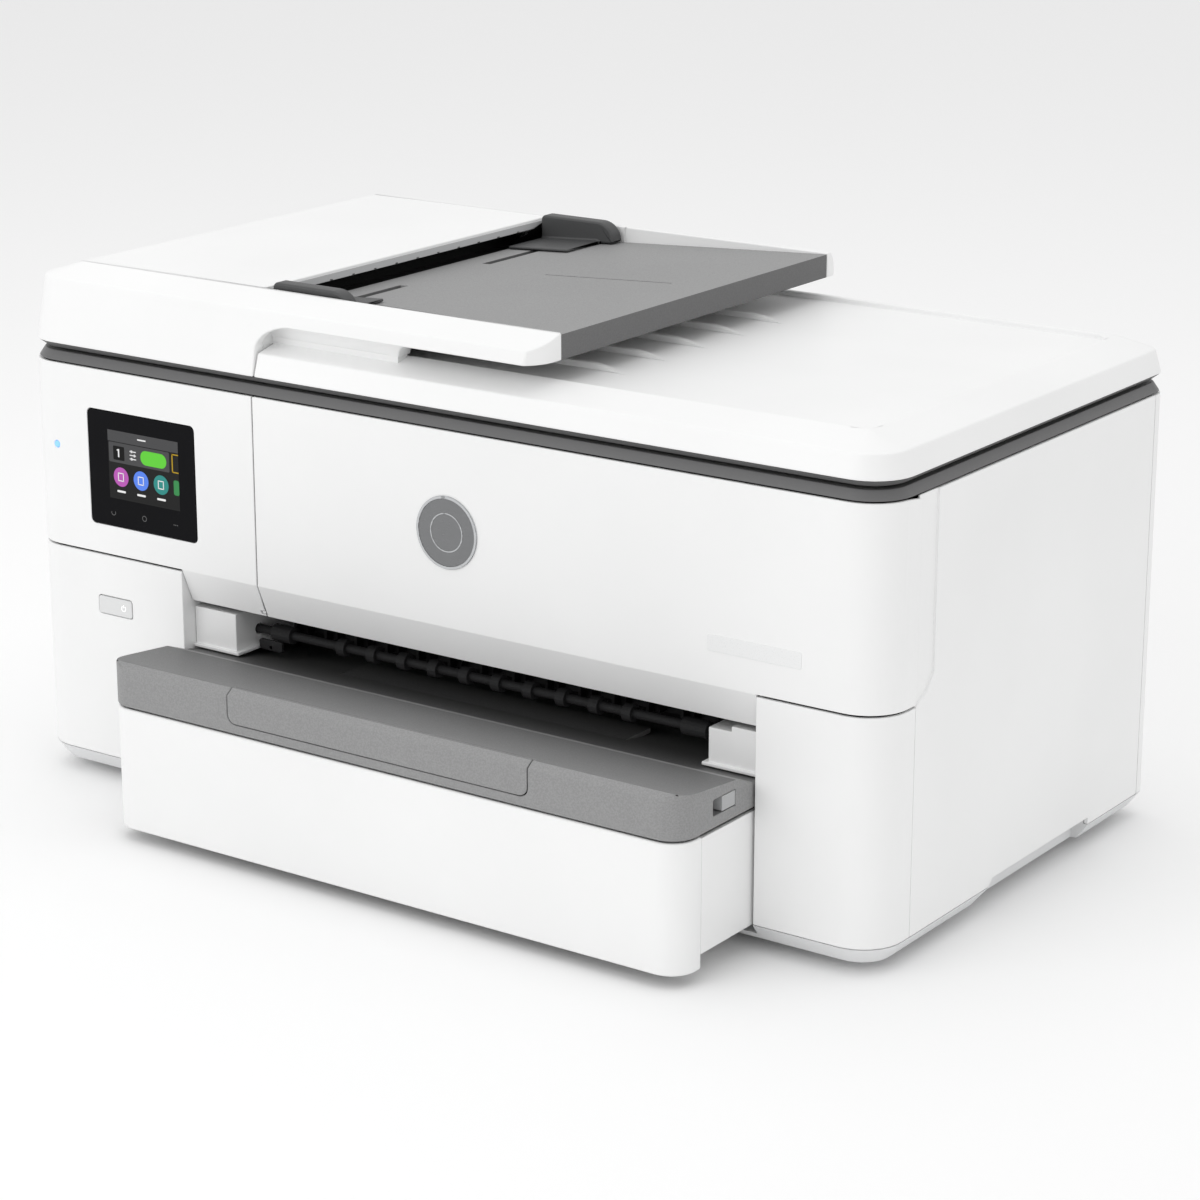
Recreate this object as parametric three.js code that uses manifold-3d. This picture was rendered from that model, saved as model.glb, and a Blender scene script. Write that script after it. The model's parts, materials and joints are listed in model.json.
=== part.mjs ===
// All-in-one inkjet printer with a document feeder, wide enough for A3 paper.
// Frame: millimetres, +X to the right seen from the front, +Y to the back, +Z up.
// Origin: centre of the footprint, on the surface that the feet stand on.

import * as THREE from 'three';
import { mergeVertices } from 'three/addons/utils/BufferGeometryUtils.js';
import Module from 'manifold-3d';

const wasm = await Module();
wasm.setup();

// ---------------------------------------------------------------- driving dimensions

const bodyWidth = 583;
const bodyDepth = 307.5;
const trayReach = 66.5;          // drawer and output tray stand this far out of the front
const footHeight = 6;
const footRadius = 9;
const footInset = 42;
const bodyTop = 251.3;           // upper edge of the housing
const chamferHeight = 9.7;
const chamferInset = 7;
const frontRadius = 24;
const backRadius = 14;
const wall = 2.5;
const gap = 0.3;                 // between pieces that touch
const seam = 0.8;                // between casings that show a joint line
const frontWrap = 32;            // front covers reach this far round the corners
const leftColumnWidth = 119.1;
const rightColumnWidth = 74.7;
const doorSplit = 175.8;         // from the left side to the joint of panel and door
const arcSteps = 8;

const baseFloor = 3.5;
const handholdStart = 112;
const handholdLength = 119;
const handholdHeight = 14;
const handholdDepth = 10.5;
const handholdSlope = 8;

const lipDepth = 8;              // the slanted lip leads into the paper outlet
const lipHeight = 20;
const hingeDrop = 16.5;          // door pivot below the seam
const hingeInset = 8.8;
const pinRadius = 1.8;
const doorDrop = 1.3;            // clearance the door needs over the right column

const touchLeft = 50.5;
const touchWidth = 81.4;
const touchRise = 17.6;          // from the seam to the touch panel
const touchHeight = 68;
const touchCorner = 3;
const lensInset = 25.3;
const lensRise = 42.8;           // from the touch panel's lower edge to the status lens
const lensRadius = 2;
const buttonLeft = 53.5;
const buttonWidth = 25.5;
const buttonDrop = 36.3;         // from the seam down to the button's lower edge
const buttonHeight = 10.5;
const buttonTravel = 1;
const buttonCorner = 1.5;
const buttonClear = 0.5;         // joint line around the button
const supplyWidth = 88;
const boardThickness = 1.6;
const inletInset = 52;
const inletWidth = 30;
const inletHeight = 24;
const inletRise = 16.5;

const rimHeight = 5.2;
const rimInset = 4.2;
const lidGap = 1.7;
const bandHeight = 3.4;
const wingEdgeRise = 12.9;       // these rises count from the lid's lower edge
const wingTopRise = 18.9;
const wingRim = 28;
const recessDepth = 3;
const adfWidth = 177.5;
const adfEdgeRise = 37.2;
const adfTopRise = 43.9;
const adfRim = 27;
const adfRearRim = 9;
const coverReach = 163.2;        // from the left side to the open edge of the feeder cover
const trayEnd = 367.5;           // from the left side to the end of the feeder tray
const trayPlate = 13.7;
const trayRise = 12;
const railThickness = 14.7;
const railFront = 28;
const railRear = 13.5;
const scoopLength = 112;
const scoopEnd = 23;
const cheekLength = 28;
const guideLength = 54;
const guideRise = 3.4;           // guides stand this far above the feeder's top
const guideWall = 10;
const guideReach = 44;
const guideTravel = 60;

const drawerBottom = 7.2;
const drawerTop = 79;
const drawerFrontDepth = 20;
const drawerWall = 2.5;
const drawerClear = 1.2;
const drawerFloorRise = 5.5;     // from the base's floor up to the drawer's
const drawerRear = 29;           // from the back of the housing to the drawer
const trayThickness = 24.8;      // output tray at its front edge
const trayMouth = 14.1;
const trayKnee = 16;             // the tray's top bends this far in front of the housing
const trayKneeRise = 20.3;
const trayTail = 4.4;
const trayTailGap = 78;
const trayCorner = 15;
const trayBevel = 3.2;           // sloping edge along the front, in height
const trayBevelDepth = 4.6;
const extensionWidth = 202.5;
const extensionRise = 5.4;
const extensionPlate = 3;
const extensionLength = 118;
const extensionCorner = 5.5;
const extensionFace = 7;         // its front panel, in depth
const latchFront = 30.5;
const latchWindow = 20.5;
const latchWidth = 12;
const latchRise = 6.6;
const latchHeight = 8.6;
const latchDepth = 6;

const blockLeftWidth = 31;
const blockRightWidth = 35;
const blockFront = 10;
const blockDepth = 52;

const exitInset = 30;
const exitRise = 10.2;           // exit shaft above the tray's mouth
const exitRoller = 5;
const exitCore = 2.6;
const outletHeight = 36.5;       // from the exit shaft up to the seam
const feedInset = 150;
const feedRoller = 8;
const feedCore = 4;
const pickRise = 3;
const pickRadius = 15;
const pickGap = 45.5;            // from the back of the housing to the pick shaft
const motorGap = 75.5;
const motorRise = 44;
const motorRadius = 18;
const transferPulley = 9;
const feedPulley = 11;
const motorPulley = 7;
const beltThickness = 1.2;
const beltWidth = 6;
const frameGauge = 2;
const frameOffset = 6;

const railInset = 158;
const railHeight = 75;
const railFlange = 13.5;
const railGauge = 2.5;
const carriageWidth = 116;
const carriageFront = 40;
const carriageBack = 145;
const carriageClear = 15.5;      // from the exit shaft up to the carriage
const carriageHeight = 60;
const cartridgeWidth = 22;
const cartridgeHeight = 88;
const parkClear = 8;
const glassThickness = 3;
const tubDepth = 19.3;
const tubInset = 14;
const padBackInset = 24;
const scanBarWidth = 24;
const hingeInsetX = 96;
const knuckle = 2.3;
const earGap = 7;
const earWidth = 5;

// ---------------------------------------------------------------- derived places

const left = -bodyWidth / 2;
const right = bodyWidth / 2;
const front = (trayReach - bodyDepth) / 2;
const back = front + bodyDepth;
const openLeft = left + leftColumnWidth;
const openRight = right - rightColumnWidth;
const pathCentre = (openLeft + openRight) / 2;
const split = left + doorSplit;
const chamferTop = footHeight + chamferHeight;
const floorTop = footHeight + baseFloor;
const casingTop = bodyTop - 0.5;
const casingBottom = chamferTop + gap;
const handholdTop = footHeight + handholdHeight;

const drawerLength = bodyDepth + trayReach - drawerRear;
const trayBottom = drawerTop + drawerClear;
const trayFrontTop = trayBottom + trayThickness;
const trayMouthTop = trayBottom + trayMouth;
const trayRearTop = trayBottom + trayTail;
const trayLength = bodyDepth + trayReach - trayTailGap;
const extensionBottom = trayBottom + extensionRise;
const latchBottom = trayBottom + latchRise;

const exitHeight = trayMouthTop + exitRise;
const exitPulley = (transferPulley * exitRoller) / feedRoller;
const feedHeight = exitHeight + 1.5;
const blockBottom = trayMouthTop - 0.6;
const blockTop = exitHeight + 13.1;
const seamHeight = exitHeight + outletHeight;   // joint between the lower columns and the upper front
const doorBottom = seamHeight + seam * 0.75;
const hingeY = front + hingeInset;
const hingeZ = seamHeight - hingeDrop;
const touchBottom = doorBottom + touchRise;
const lensHeight = touchBottom + lensRise;
const buttonBottom = seamHeight - buttonDrop;
const pickInset = bodyDepth - pickGap;
const pickHeight = drawerTop + pickRise;
const motorInset = bodyDepth - motorGap;
const motorHeight = feedHeight + motorRise;
const frameLeft = openLeft - frameOffset;
const frameRight = openRight + frameOffset;
const beltX = frameLeft - frameGauge - 10;
const driveBeltX = beltX - beltWidth - 2;
const carriageBottom = exitHeight + carriageClear;
const carriageTop = carriageBottom + carriageHeight;
const cartridgeTop = carriageBottom + cartridgeHeight;
const railBase = carriageBottom + 20;
const innerClear = handholdDepth + wall + 1;    // clears the recesses for the fingers
const inletX = left + inletInset;
const inletZ = floorTop + inletRise;

const rimBottom = bodyTop + 0.5;
const rimTop = rimBottom + rimHeight;
const tubFloor = bodyTop - tubDepth;
const lidBottom = rimTop + lidGap + bandHeight;
const wingEdge = lidBottom + wingEdgeRise;
const wingTop = lidBottom + wingTopRise;
const adfEdge = lidBottom + adfEdgeRise;
const adfTop = lidBottom + adfTopRise;
const railBottom = adfTop - railThickness;
const adfRight = left + adfWidth;
const plateEnd = left + trayEnd;
const coverRight = left + coverReach;
const rollerX = coverRight - 26;
const trayLow = adfTop - 0.8 - trayRise;
const lidHingeY = back - 3;
const lidHingeZ = lidBottom - 1.1;
const hingePlaces = [left + hingeInsetX, right - hingeInsetX];
const far = 2000;

// ---------------------------------------------------------------- solids

function toSolid(geometry) {
  const bare = geometry.clone();
  bare.deleteAttribute('normal');
  bare.deleteAttribute('uv');
  const merged = mergeVertices(bare, 1e-4);
  return new wasm.Manifold(new wasm.Mesh({
    numProp: 3,
    vertProperties: Float32Array.from(merged.attributes.position.array),
    triVerts: Uint32Array.from(merged.index.array),
  }));
}

function toGeometry(solid) {
  const mesh = solid.getMesh();
  const geometry = new THREE.BufferGeometry();
  geometry.setAttribute('position', new THREE.BufferAttribute(mesh.vertProperties, 3));
  geometry.setIndex(new THREE.BufferAttribute(mesh.triVerts, 1));
  return geometry;
}

function block(x0, x1, y0, y1, z0, z1) {
  const box = new THREE.BoxGeometry(x1 - x0, y1 - y0, z1 - z0);
  box.translate((x0 + x1) / 2, (y0 + y1) / 2, (z0 + z1) / 2);
  return toSolid(box);
}

function extrude(points, depth, basis, x, y, z) {
  const shape = new THREE.Shape(points.map(([u, v]) => new THREE.Vector2(u, v)));
  const geometry = new THREE.ExtrudeGeometry(shape, { depth, bevelEnabled: false, curveSegments: 1 });
  geometry.applyMatrix4(basis);
  geometry.translate(x, y, z);
  return toSolid(geometry);
}

const alongX = new THREE.Matrix4().makeBasis(
  new THREE.Vector3(0, 1, 0), new THREE.Vector3(0, 0, 1), new THREE.Vector3(1, 0, 0));
const alongY = new THREE.Matrix4().makeBasis(
  new THREE.Vector3(1, 0, 0), new THREE.Vector3(0, 0, 1), new THREE.Vector3(0, -1, 0));
const alongZ = new THREE.Matrix4();

// Prisms: outlines are lists of [y, z], [x, z] or [x, y].
const prismX = (points, x0, x1) => extrude(points, x1 - x0, alongX, x0, 0, 0);
const prismY = (points, y0, y1) => extrude(points, y1 - y0, alongY, 0, y1, 0);
const prismZ = (points, z0, z1) => extrude(points, z1 - z0, alongZ, 0, 0, z0);

function disc(cu, cv, radius, steps = 20) {
  return Array.from({ length: steps }, (_, i) => {
    const angle = (2 * Math.PI * i) / steps;
    return [cu + radius * Math.cos(angle), cv + radius * Math.sin(angle)];
  });
}

const rodX = (y, z, radius, x0, x1, steps) => prismX(disc(y, z, radius, steps), x0, x1);
const rodZ = (x, y, radius, z0, z1, steps) => prismZ(disc(x, y, radius, steps), z0, z1);

// Rounded rectangle in plan, counter-clockwise, with its own front and back corner radii.
function roundedOutline(x0, x1, y0, y1, frontR, backR = frontR) {
  const corners = [
    [x1 - frontR, y0 + frontR, frontR, -0.5],
    [x1 - backR, y1 - backR, backR, 0],
    [x0 + backR, y1 - backR, backR, 0.5],
    [x0 + frontR, y0 + frontR, frontR, 1],
  ];
  const points = [];
  for (const [cx, cy, radius, turn] of corners) {
    for (let i = 0; i <= arcSteps; i += 1) {
      const angle = (turn + (0.5 * i) / arcSteps) * Math.PI;
      points.push([cx + radius * Math.cos(angle), cy + radius * Math.sin(angle)]);
    }
  }
  return points;
}

// The housing's plan outline, drawn in by a distance at the front, sides and back.
function bodyOutline(inset, sideInset = inset, backInset = inset) {
  const frontR = Math.max(frontRadius - inset, 1);
  const backR = Math.max(backRadius - backInset, 1);
  return roundedOutline(left + sideInset, right - sideInset, front + inset, back - backInset, frontR, backR);
}

// Skins a stack of convex outlines with equal point counts, lowest first: [[outline, z], ...].
function loft(levels) {
  const count = levels[0][0].length;
  const positions = levels.flatMap(([outline, z]) => outline.flatMap(([x, y]) => [x, y, z]));
  const index = [];
  for (let level = 0; level + 1 < levels.length; level += 1) {
    for (let i = 0; i < count; i += 1) {
      const a = level * count + i;
      const b = level * count + ((i + 1) % count);
      index.push(a, b, b + count, a, b + count, a + count);
    }
  }
  const roof = (levels.length - 1) * count;
  for (let i = 1; i + 1 < count; i += 1) {
    index.push(0, i + 1, i);
    index.push(roof, roof + i, roof + i + 1);
  }
  const geometry = new THREE.BufferGeometry();
  geometry.setAttribute('position', new THREE.Float32BufferAttribute(positions, 3));
  geometry.setIndex(index);
  return toSolid(geometry);
}

const join = (first, ...others) => others.reduce((sum, other) => sum.add(other), first);
const cut = (first, ...others) => others.reduce((rest, other) => rest.subtract(other), first);

// ---------------------------------------------------------------- finishes

const finish = (color, roughness, metalness = 0) =>
  new THREE.MeshStandardMaterial({ color, roughness, metalness });

const whitePlastic = finish(0xf2f2f1, 0.45);
const paleGrey = finish(0xcfd1d2, 0.5);
const trayGrey = finish(0x8f9092, 0.55);
const guideGrey = finish(0x5f6163, 0.5);
const blackPlastic = finish(0x161617, 0.5);
const steel = finish(0xb4b7ba, 0.35, 0.9);
const rubber = finish(0x232324, 0.9);
const darkGlass = finish(0x0b0c0e, 0.08);
const clearGlass = finish(0x9fb2ad, 0.05);
const foam = finish(0xf6f6f3, 0.8);
const boardGreen = finish(0x1e6b3c, 0.5);

const printer = new THREE.Group();

function addPart(name, solid, material) {
  const mesh = new THREE.Mesh(toGeometry(solid), material);
  mesh.name = name;
  printer.add(mesh);
}

// ---------------------------------------------------------------- base, feet and casings

function handhold(side) {
  const start = front + handholdStart;
  const end = start + handholdLength;
  const profile = [[start - handholdSlope, 0], [end, 0],
    [end, handholdTop], [start + handholdSlope, handholdTop]];
  return side < 0
    ? prismX(profile, left - 1, left + handholdDepth)
    : prismX(profile, right - handholdDepth, right + 1);
}

// Closes the finger recess off from the inside of the housing.
function handholdLiner(side) {
  const start = front + handholdStart - handholdSlope - wall;
  const end = front + handholdStart + handholdLength + wall;
  const top = handholdTop + wall;
  const inside = join(baseSolid(), prismZ(bodyOutline(wall + gap), chamferTop - 1, top));
  const x = side < 0 ? left : right - handholdDepth - wall;
  return block(x, x + handholdDepth + wall, start, end, footHeight + gap, top).intersect(inside);
}

const baseSolid = () => loft([[bodyOutline(chamferInset), footHeight + gap], [bodyOutline(0), chamferTop]]);

function makeBase() {
  const pocket = prismZ(bodyOutline(chamferInset + wall), floorTop, chamferTop + 1);
  const gateBack = front + chamferInset + wall + 1;
  const drawerGate = block(openLeft, openRight, front - 1, gateBack, floorTop, chamferTop + 1);
  const pan = join(cut(baseSolid(), pocket, drawerGate), handholdLiner(-1), handholdLiner(1));
  addPart('base_pan', cut(pan, handhold(-1), handhold(1)), paleGrey);
  for (const [side, x] of [['left', left + footInset], ['right', right - footInset]]) {
    for (const [end, y] of [['front', front + footInset], ['rear', back - footInset]]) {
      addPart(`foot_${end}_${side}`, rodZ(x, y, footRadius, 0, footHeight, 16), rubber);
    }
  }
}

function casingRing(z0, z1) {
  return cut(prismZ(bodyOutline(0), z0, z1), prismZ(bodyOutline(wall), z0 - 1, z1 + 1));
}

function makeSides() {
  const rearStart = back - backRadius - 2;
  const ring = casingRing(casingBottom, casingTop);
  const leftSide = ring.intersect(block(left - 1, 0, front + frontWrap + gap, rearStart - gap, 0, far));
  const rightSide = ring.intersect(block(0, right + 1, front + frontWrap + gap, rearStart - gap, 0, far));
  const gripStart = front + frontWrap - 1;
  const grip = prismX([
    [gripStart, seamHeight - 1], [gripStart + 12, seamHeight + 5],
    [gripStart + 19, seamHeight + 14], [gripStart + 19, bodyTop], [gripStart, bodyTop],
  ], right - 1.3, right + 1);
  addPart('side_panel_left', cut(leftSide, handhold(-1)), whitePlastic);
  addPart('side_panel_right', cut(rightSide, handhold(1), grip), whitePlastic);
  const rear = ring.intersect(block(left - 1, right + 1, rearStart, back + 1, 0, far));
  const inletHole = block(inletX - inletWidth / 2, inletX + inletWidth / 2, back - 10, back + 1,
    inletZ, inletZ + inletHeight);
  addPart('rear_panel', cut(rear, inletHole), whitePlastic);
}

function makeColumns() {
  const columnTop = doorBottom - doorDrop;
  const ring = casingRing(casingBottom, columnTop);
  const returnDepth = exitInset - exitCore - 3;
  const leftWrap = ring.intersect(block(left - 1, openLeft, front - 1, front + frontWrap, 0, far));
  const leftReturn = block(openLeft - wall, openLeft, front, front + returnDepth, casingBottom, columnTop);
  const buttonX = left + buttonLeft;
  const buttonHole = roundedOutline(buttonX - buttonClear, buttonX + buttonWidth + buttonClear,
    buttonBottom - buttonClear, buttonBottom + buttonHeight + buttonClear, buttonCorner + buttonClear);
  const button = prismY(buttonHole, front - 1, front + wall + 1);
  addPart('column_left', cut(join(leftWrap, leftReturn), button), whitePlastic);
  const rightWrap = ring.intersect(block(openRight, right + 1, front - 1, front + frontWrap, 0, far));
  const rightReturn = block(openRight, openRight + wall, front, front + returnDepth,
    casingBottom, columnTop);
  const pinHole = rodX(hingeY, hingeZ, pinRadius + gap, openRight - 1, openRight + wall + 1, 16);
  addPart('column_right', cut(join(rightWrap, rightReturn), pinHole), whitePlastic);
}

// Slanted lip below the seam, between two X positions.
function lip(x0, x1) {
  const top = doorBottom + wall;
  const bottom = doorBottom - lipHeight;
  return prismX([
    [front, doorBottom], [front + lipDepth, bottom], [front + lipDepth + wall + 0.5, bottom],
    [front + wall + 0.5, doorBottom], [front + wall, top], [front, top],
  ], x0, x1);
}

function makeControlPanel() {
  const edge = split - seam / 2;
  const wrap = casingRing(doorBottom, casingTop)
    .intersect(block(left - 1, edge, front - 1, front + frontWrap, 0, far));
  const cheek = block(edge - wall, edge, front + lipDepth - 2, front + lipDepth + 6,
    doorBottom - lipHeight, doorBottom + wall)
    .intersect(prismX([
      [front, doorBottom + wall], [front, doorBottom], [front + lipDepth, doorBottom - lipHeight],
      [front + frontWrap, doorBottom - lipHeight], [front + frontWrap, doorBottom + wall],
    ], left, right));
  const shelf = block(edge - wall, edge, front, front + lipDepth + 6, doorBottom, doorBottom + wall);
  const glassX = left + touchLeft;
  const glassOutline = (extra) => roundedOutline(glassX - extra, glassX + touchWidth + extra,
    touchBottom - extra, touchBottom + touchHeight + extra, touchCorner + extra);
  const window = prismY(glassOutline(gap), front - 1, front + wall + 1);
  const lens = rodYHole(left + lensInset, lensHeight, lensRadius + gap);
  const pinHole = rodX(hingeY, hingeZ, pinRadius + gap, edge - wall - 1, edge + 1, 16);
  addPart('control_panel_housing',
    cut(join(wrap, lip(openLeft + gap, edge), cheek, shelf), window, lens, pinHole), whitePlastic);
  addPart('touch_display', join(
    prismY(glassOutline(0), front, front + wall + 3),
    block(glassX + 3, glassX + touchWidth - 3, front + wall + 2, front + wall + 7,
      touchBottom + 3, touchBottom + touchHeight - 3)), darkGlass);
  const buttonX = left + buttonLeft;
  const buttonTop = buttonBottom + buttonHeight;
  const face = roundedOutline(buttonX, buttonX + buttonWidth, buttonBottom, buttonTop, buttonCorner);
  const press = prismY(face, front - 0.2, front + wall + buttonTravel);
  const flange = block(buttonX - 2, buttonX + buttonWidth + 2, front + wall + gap, front + wall + gap + 2,
    buttonBottom - 2, buttonTop + 2);
  addPart('power_button', join(press, flange), whitePlastic);
}

const rodYHole = (x, z, radius) => prismY(disc(x, z, radius, 12), front - 1, front + wall + 3);

function makeDoor() {
  const edge = split + seam / 2;
  const sweep = bodyTop + 0.1 - hingeZ;
  const wrap = casingRing(doorBottom, casingTop)
    .intersect(block(edge, right + 1, front - 1, front + frontWrap, 0, far))
    .intersect(rodX(hingeY, hingeZ, sweep, edge - 1, right + 2, 96));
  const pins = [
    rodX(hingeY, hingeZ, pinRadius, edge - seam - wall, edge + 6, 12),
    rodX(hingeY, hingeZ, pinRadius, openRight - 6, openRight + wall, 12),
  ];
  addPart('front_door', join(wrap, lip(edge, openRight - gap), ...pins), whitePlastic);
}

// ---------------------------------------------------------------- paper outlet

function makeOutletBlocks() {
  const y0 = front + blockFront;
  const y1 = y0 + blockDepth;
  const shaftHole = rodX(front + exitInset, exitHeight, exitCore + 0.4, openLeft - 9, openRight + 9, 16);
  const leftBlock = join(
    block(openLeft + gap, openLeft + blockLeftWidth, y0, y1, blockBottom + 2, blockTop),
    block(openLeft + gap, openLeft + blockLeftWidth + 3, y0 - 2, y1, blockBottom, blockBottom + 2));
  const rightBlock = join(
    block(openRight - blockRightWidth, openRight - gap, y0, y1, blockBottom + 2, blockTop - 3),
    block(openRight - blockRightWidth + 14, openRight - gap, y0, y1, blockTop - 4, blockTop),
    block(openRight - blockRightWidth - 3, openRight - gap, y0 - 2, y1, blockBottom, blockBottom + 2));
  addPart('outlet_block_left', cut(leftBlock, shaftHole), whitePlastic);
  addPart('outlet_block_right', cut(rightBlock, shaftHole), whitePlastic);
}

function makeExitShaft() {
  const y = front + exitInset;
  const firstRoller = openLeft + 50.5;
  const lastRoller = openRight - 55;
  const small = 10;
  const shaftEnd = openRight - blockRightWidth + 12;
  let shaft = rodX(y, exitHeight, exitCore, frameLeft - frameGauge - 12, shaftEnd, 14);
  shaft = join(shaft, rodX(y, exitHeight, exitRoller, firstRoller - 7, firstRoller + 7, 14),
    rodX(y, exitHeight, exitRoller, lastRoller - 8, lastRoller + 8, 14));
  const innerStart = firstRoller + 44;
  const innerEnd = lastRoller - 43;
  for (let i = 0; i < small; i += 1) {
    const x = innerStart + ((innerEnd - innerStart) * i) / (small - 1);
    shaft = join(shaft, rodX(y, exitHeight, exitRoller, x - 3, x + 3, 14));
  }
  shaft = join(shaft, rodX(y, exitHeight, exitPulley, beltX, beltX + beltWidth, 24));
  addPart('exit_roller_shaft', shaft, blackPlastic);
}

function makeFeed() {
  const y = front + feedInset;
  const sleeve = join(
    rodX(y, feedHeight, feedCore, driveBeltX - 1, frameRight + frameGauge + 5, 14),
    rodX(y, feedHeight, feedRoller, openLeft + 12, openRight - 12, 24),
    rodX(y, feedHeight, transferPulley, beltX, beltX + beltWidth, 24),
    rodX(y, feedHeight, feedPulley, driveBeltX, driveBeltX + beltWidth, 24));
  addPart('feed_roller_shaft', sleeve, steel);
  const pickY = front + pickInset;
  addPart('pick_roller', join(
    rodX(pickY, pickHeight, pickRadius, pathCentre - 20, pathCentre + 20, 24),
    rodX(pickY, pickHeight, 3, pathCentre - 90, frameRight + frameGauge + 4, 12)), rubber);
  const motorY = front + motorInset;
  addPart('feed_motor', join(
    rodX(motorY, motorHeight, motorRadius, frameLeft + gap, frameLeft + 38, 24),
    rodX(motorY, motorHeight, 2, driveBeltX - 1, frameLeft + 1, 12),
    rodX(motorY, motorHeight, motorPulley, driveBeltX, driveBeltX + beltWidth, 20)), steel);
}

// Outline of a belt around two round pulleys: an arc on each, joined by straight runs.
function beltOutline(u0, v0, r0, u1, v1, r1) {
  const towards = Math.atan2(v1 - v0, u1 - u0);
  const lean = Math.acos((r0 - r1) / Math.hypot(u1 - u0, v1 - v0));
  const steps = 24;
  const points = [];
  for (let i = 0; i <= steps; i += 1) {
    const a = towards - lean + (2 * lean * i) / steps;
    points.push([u1 + r1 * Math.cos(a), v1 + r1 * Math.sin(a)]);
  }
  for (let i = 0; i <= steps; i += 1) {
    const a = towards + lean + ((2 * Math.PI - 2 * lean) * i) / steps;
    points.push([u0 + r0 * Math.cos(a), v0 + r0 * Math.sin(a)]);
  }
  return points;
}

// Flat belt round two pulleys whose axes lie along X.
function belt(x0, y0, z0, r0, y1, z1, r1) {
  const around = (extra) => beltOutline(y0, z0, r0 + extra, y1, z1, r1 + extra);
  return cut(prismX(around(gap + beltThickness), x0, x0 + beltWidth),
    prismX(around(gap), x0 - 1, x0 + beltWidth + 1));
}

function makeBelts() {
  addPart('transfer_belt', belt(beltX, front + exitInset, exitHeight, exitPulley,
    front + feedInset, feedHeight, transferPulley), rubber);
  addPart('drive_belt', belt(driveBeltX, front + feedInset, feedHeight, feedPulley,
    front + motorInset, motorHeight, motorPulley), rubber);
}

function makeFrames() {
  const y0 = front + exitInset + 12;
  const yRail = front + railInset + railGauge + 1;
  const yEnd = back - 22;
  const low = carriageBottom - 5;
  const profile = [[y0, floorTop + gap], [yEnd, floorTop + gap], [yEnd, tubFloor - 4],
    [yRail, tubFloor - 4], [yRail, low], [y0, low]];
  const feedHole = (x) => rodX(front + feedInset, feedHeight, feedCore + 0.4, x - 1, x + frameGauge + 1, 16);
  const motorHole = (x) => rodX(front + motorInset, motorHeight, 2.4, x - 1, x + frameGauge + 1, 12);
  const pickHole = (x) => rodX(front + pickInset, pickHeight, 3.4, x - 1, x + frameGauge + 1, 12);
  const xl = frameLeft - frameGauge;
  addPart('frame_left', cut(prismX(profile, xl, frameLeft), feedHole(xl), motorHole(xl)), steel);
  addPart('frame_right', cut(prismX(profile, frameRight, frameRight + frameGauge), feedHole(frameRight),
    pickHole(frameRight)), steel);
  addPart('platen', block(frameLeft + gap, frameRight - gap, front + exitInset + 34,
    front + feedInset - feedRoller - 2, carriageBottom - 16, carriageBottom - 8), blackPlastic);
}

// ---------------------------------------------------------------- carriage and ink

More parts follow.
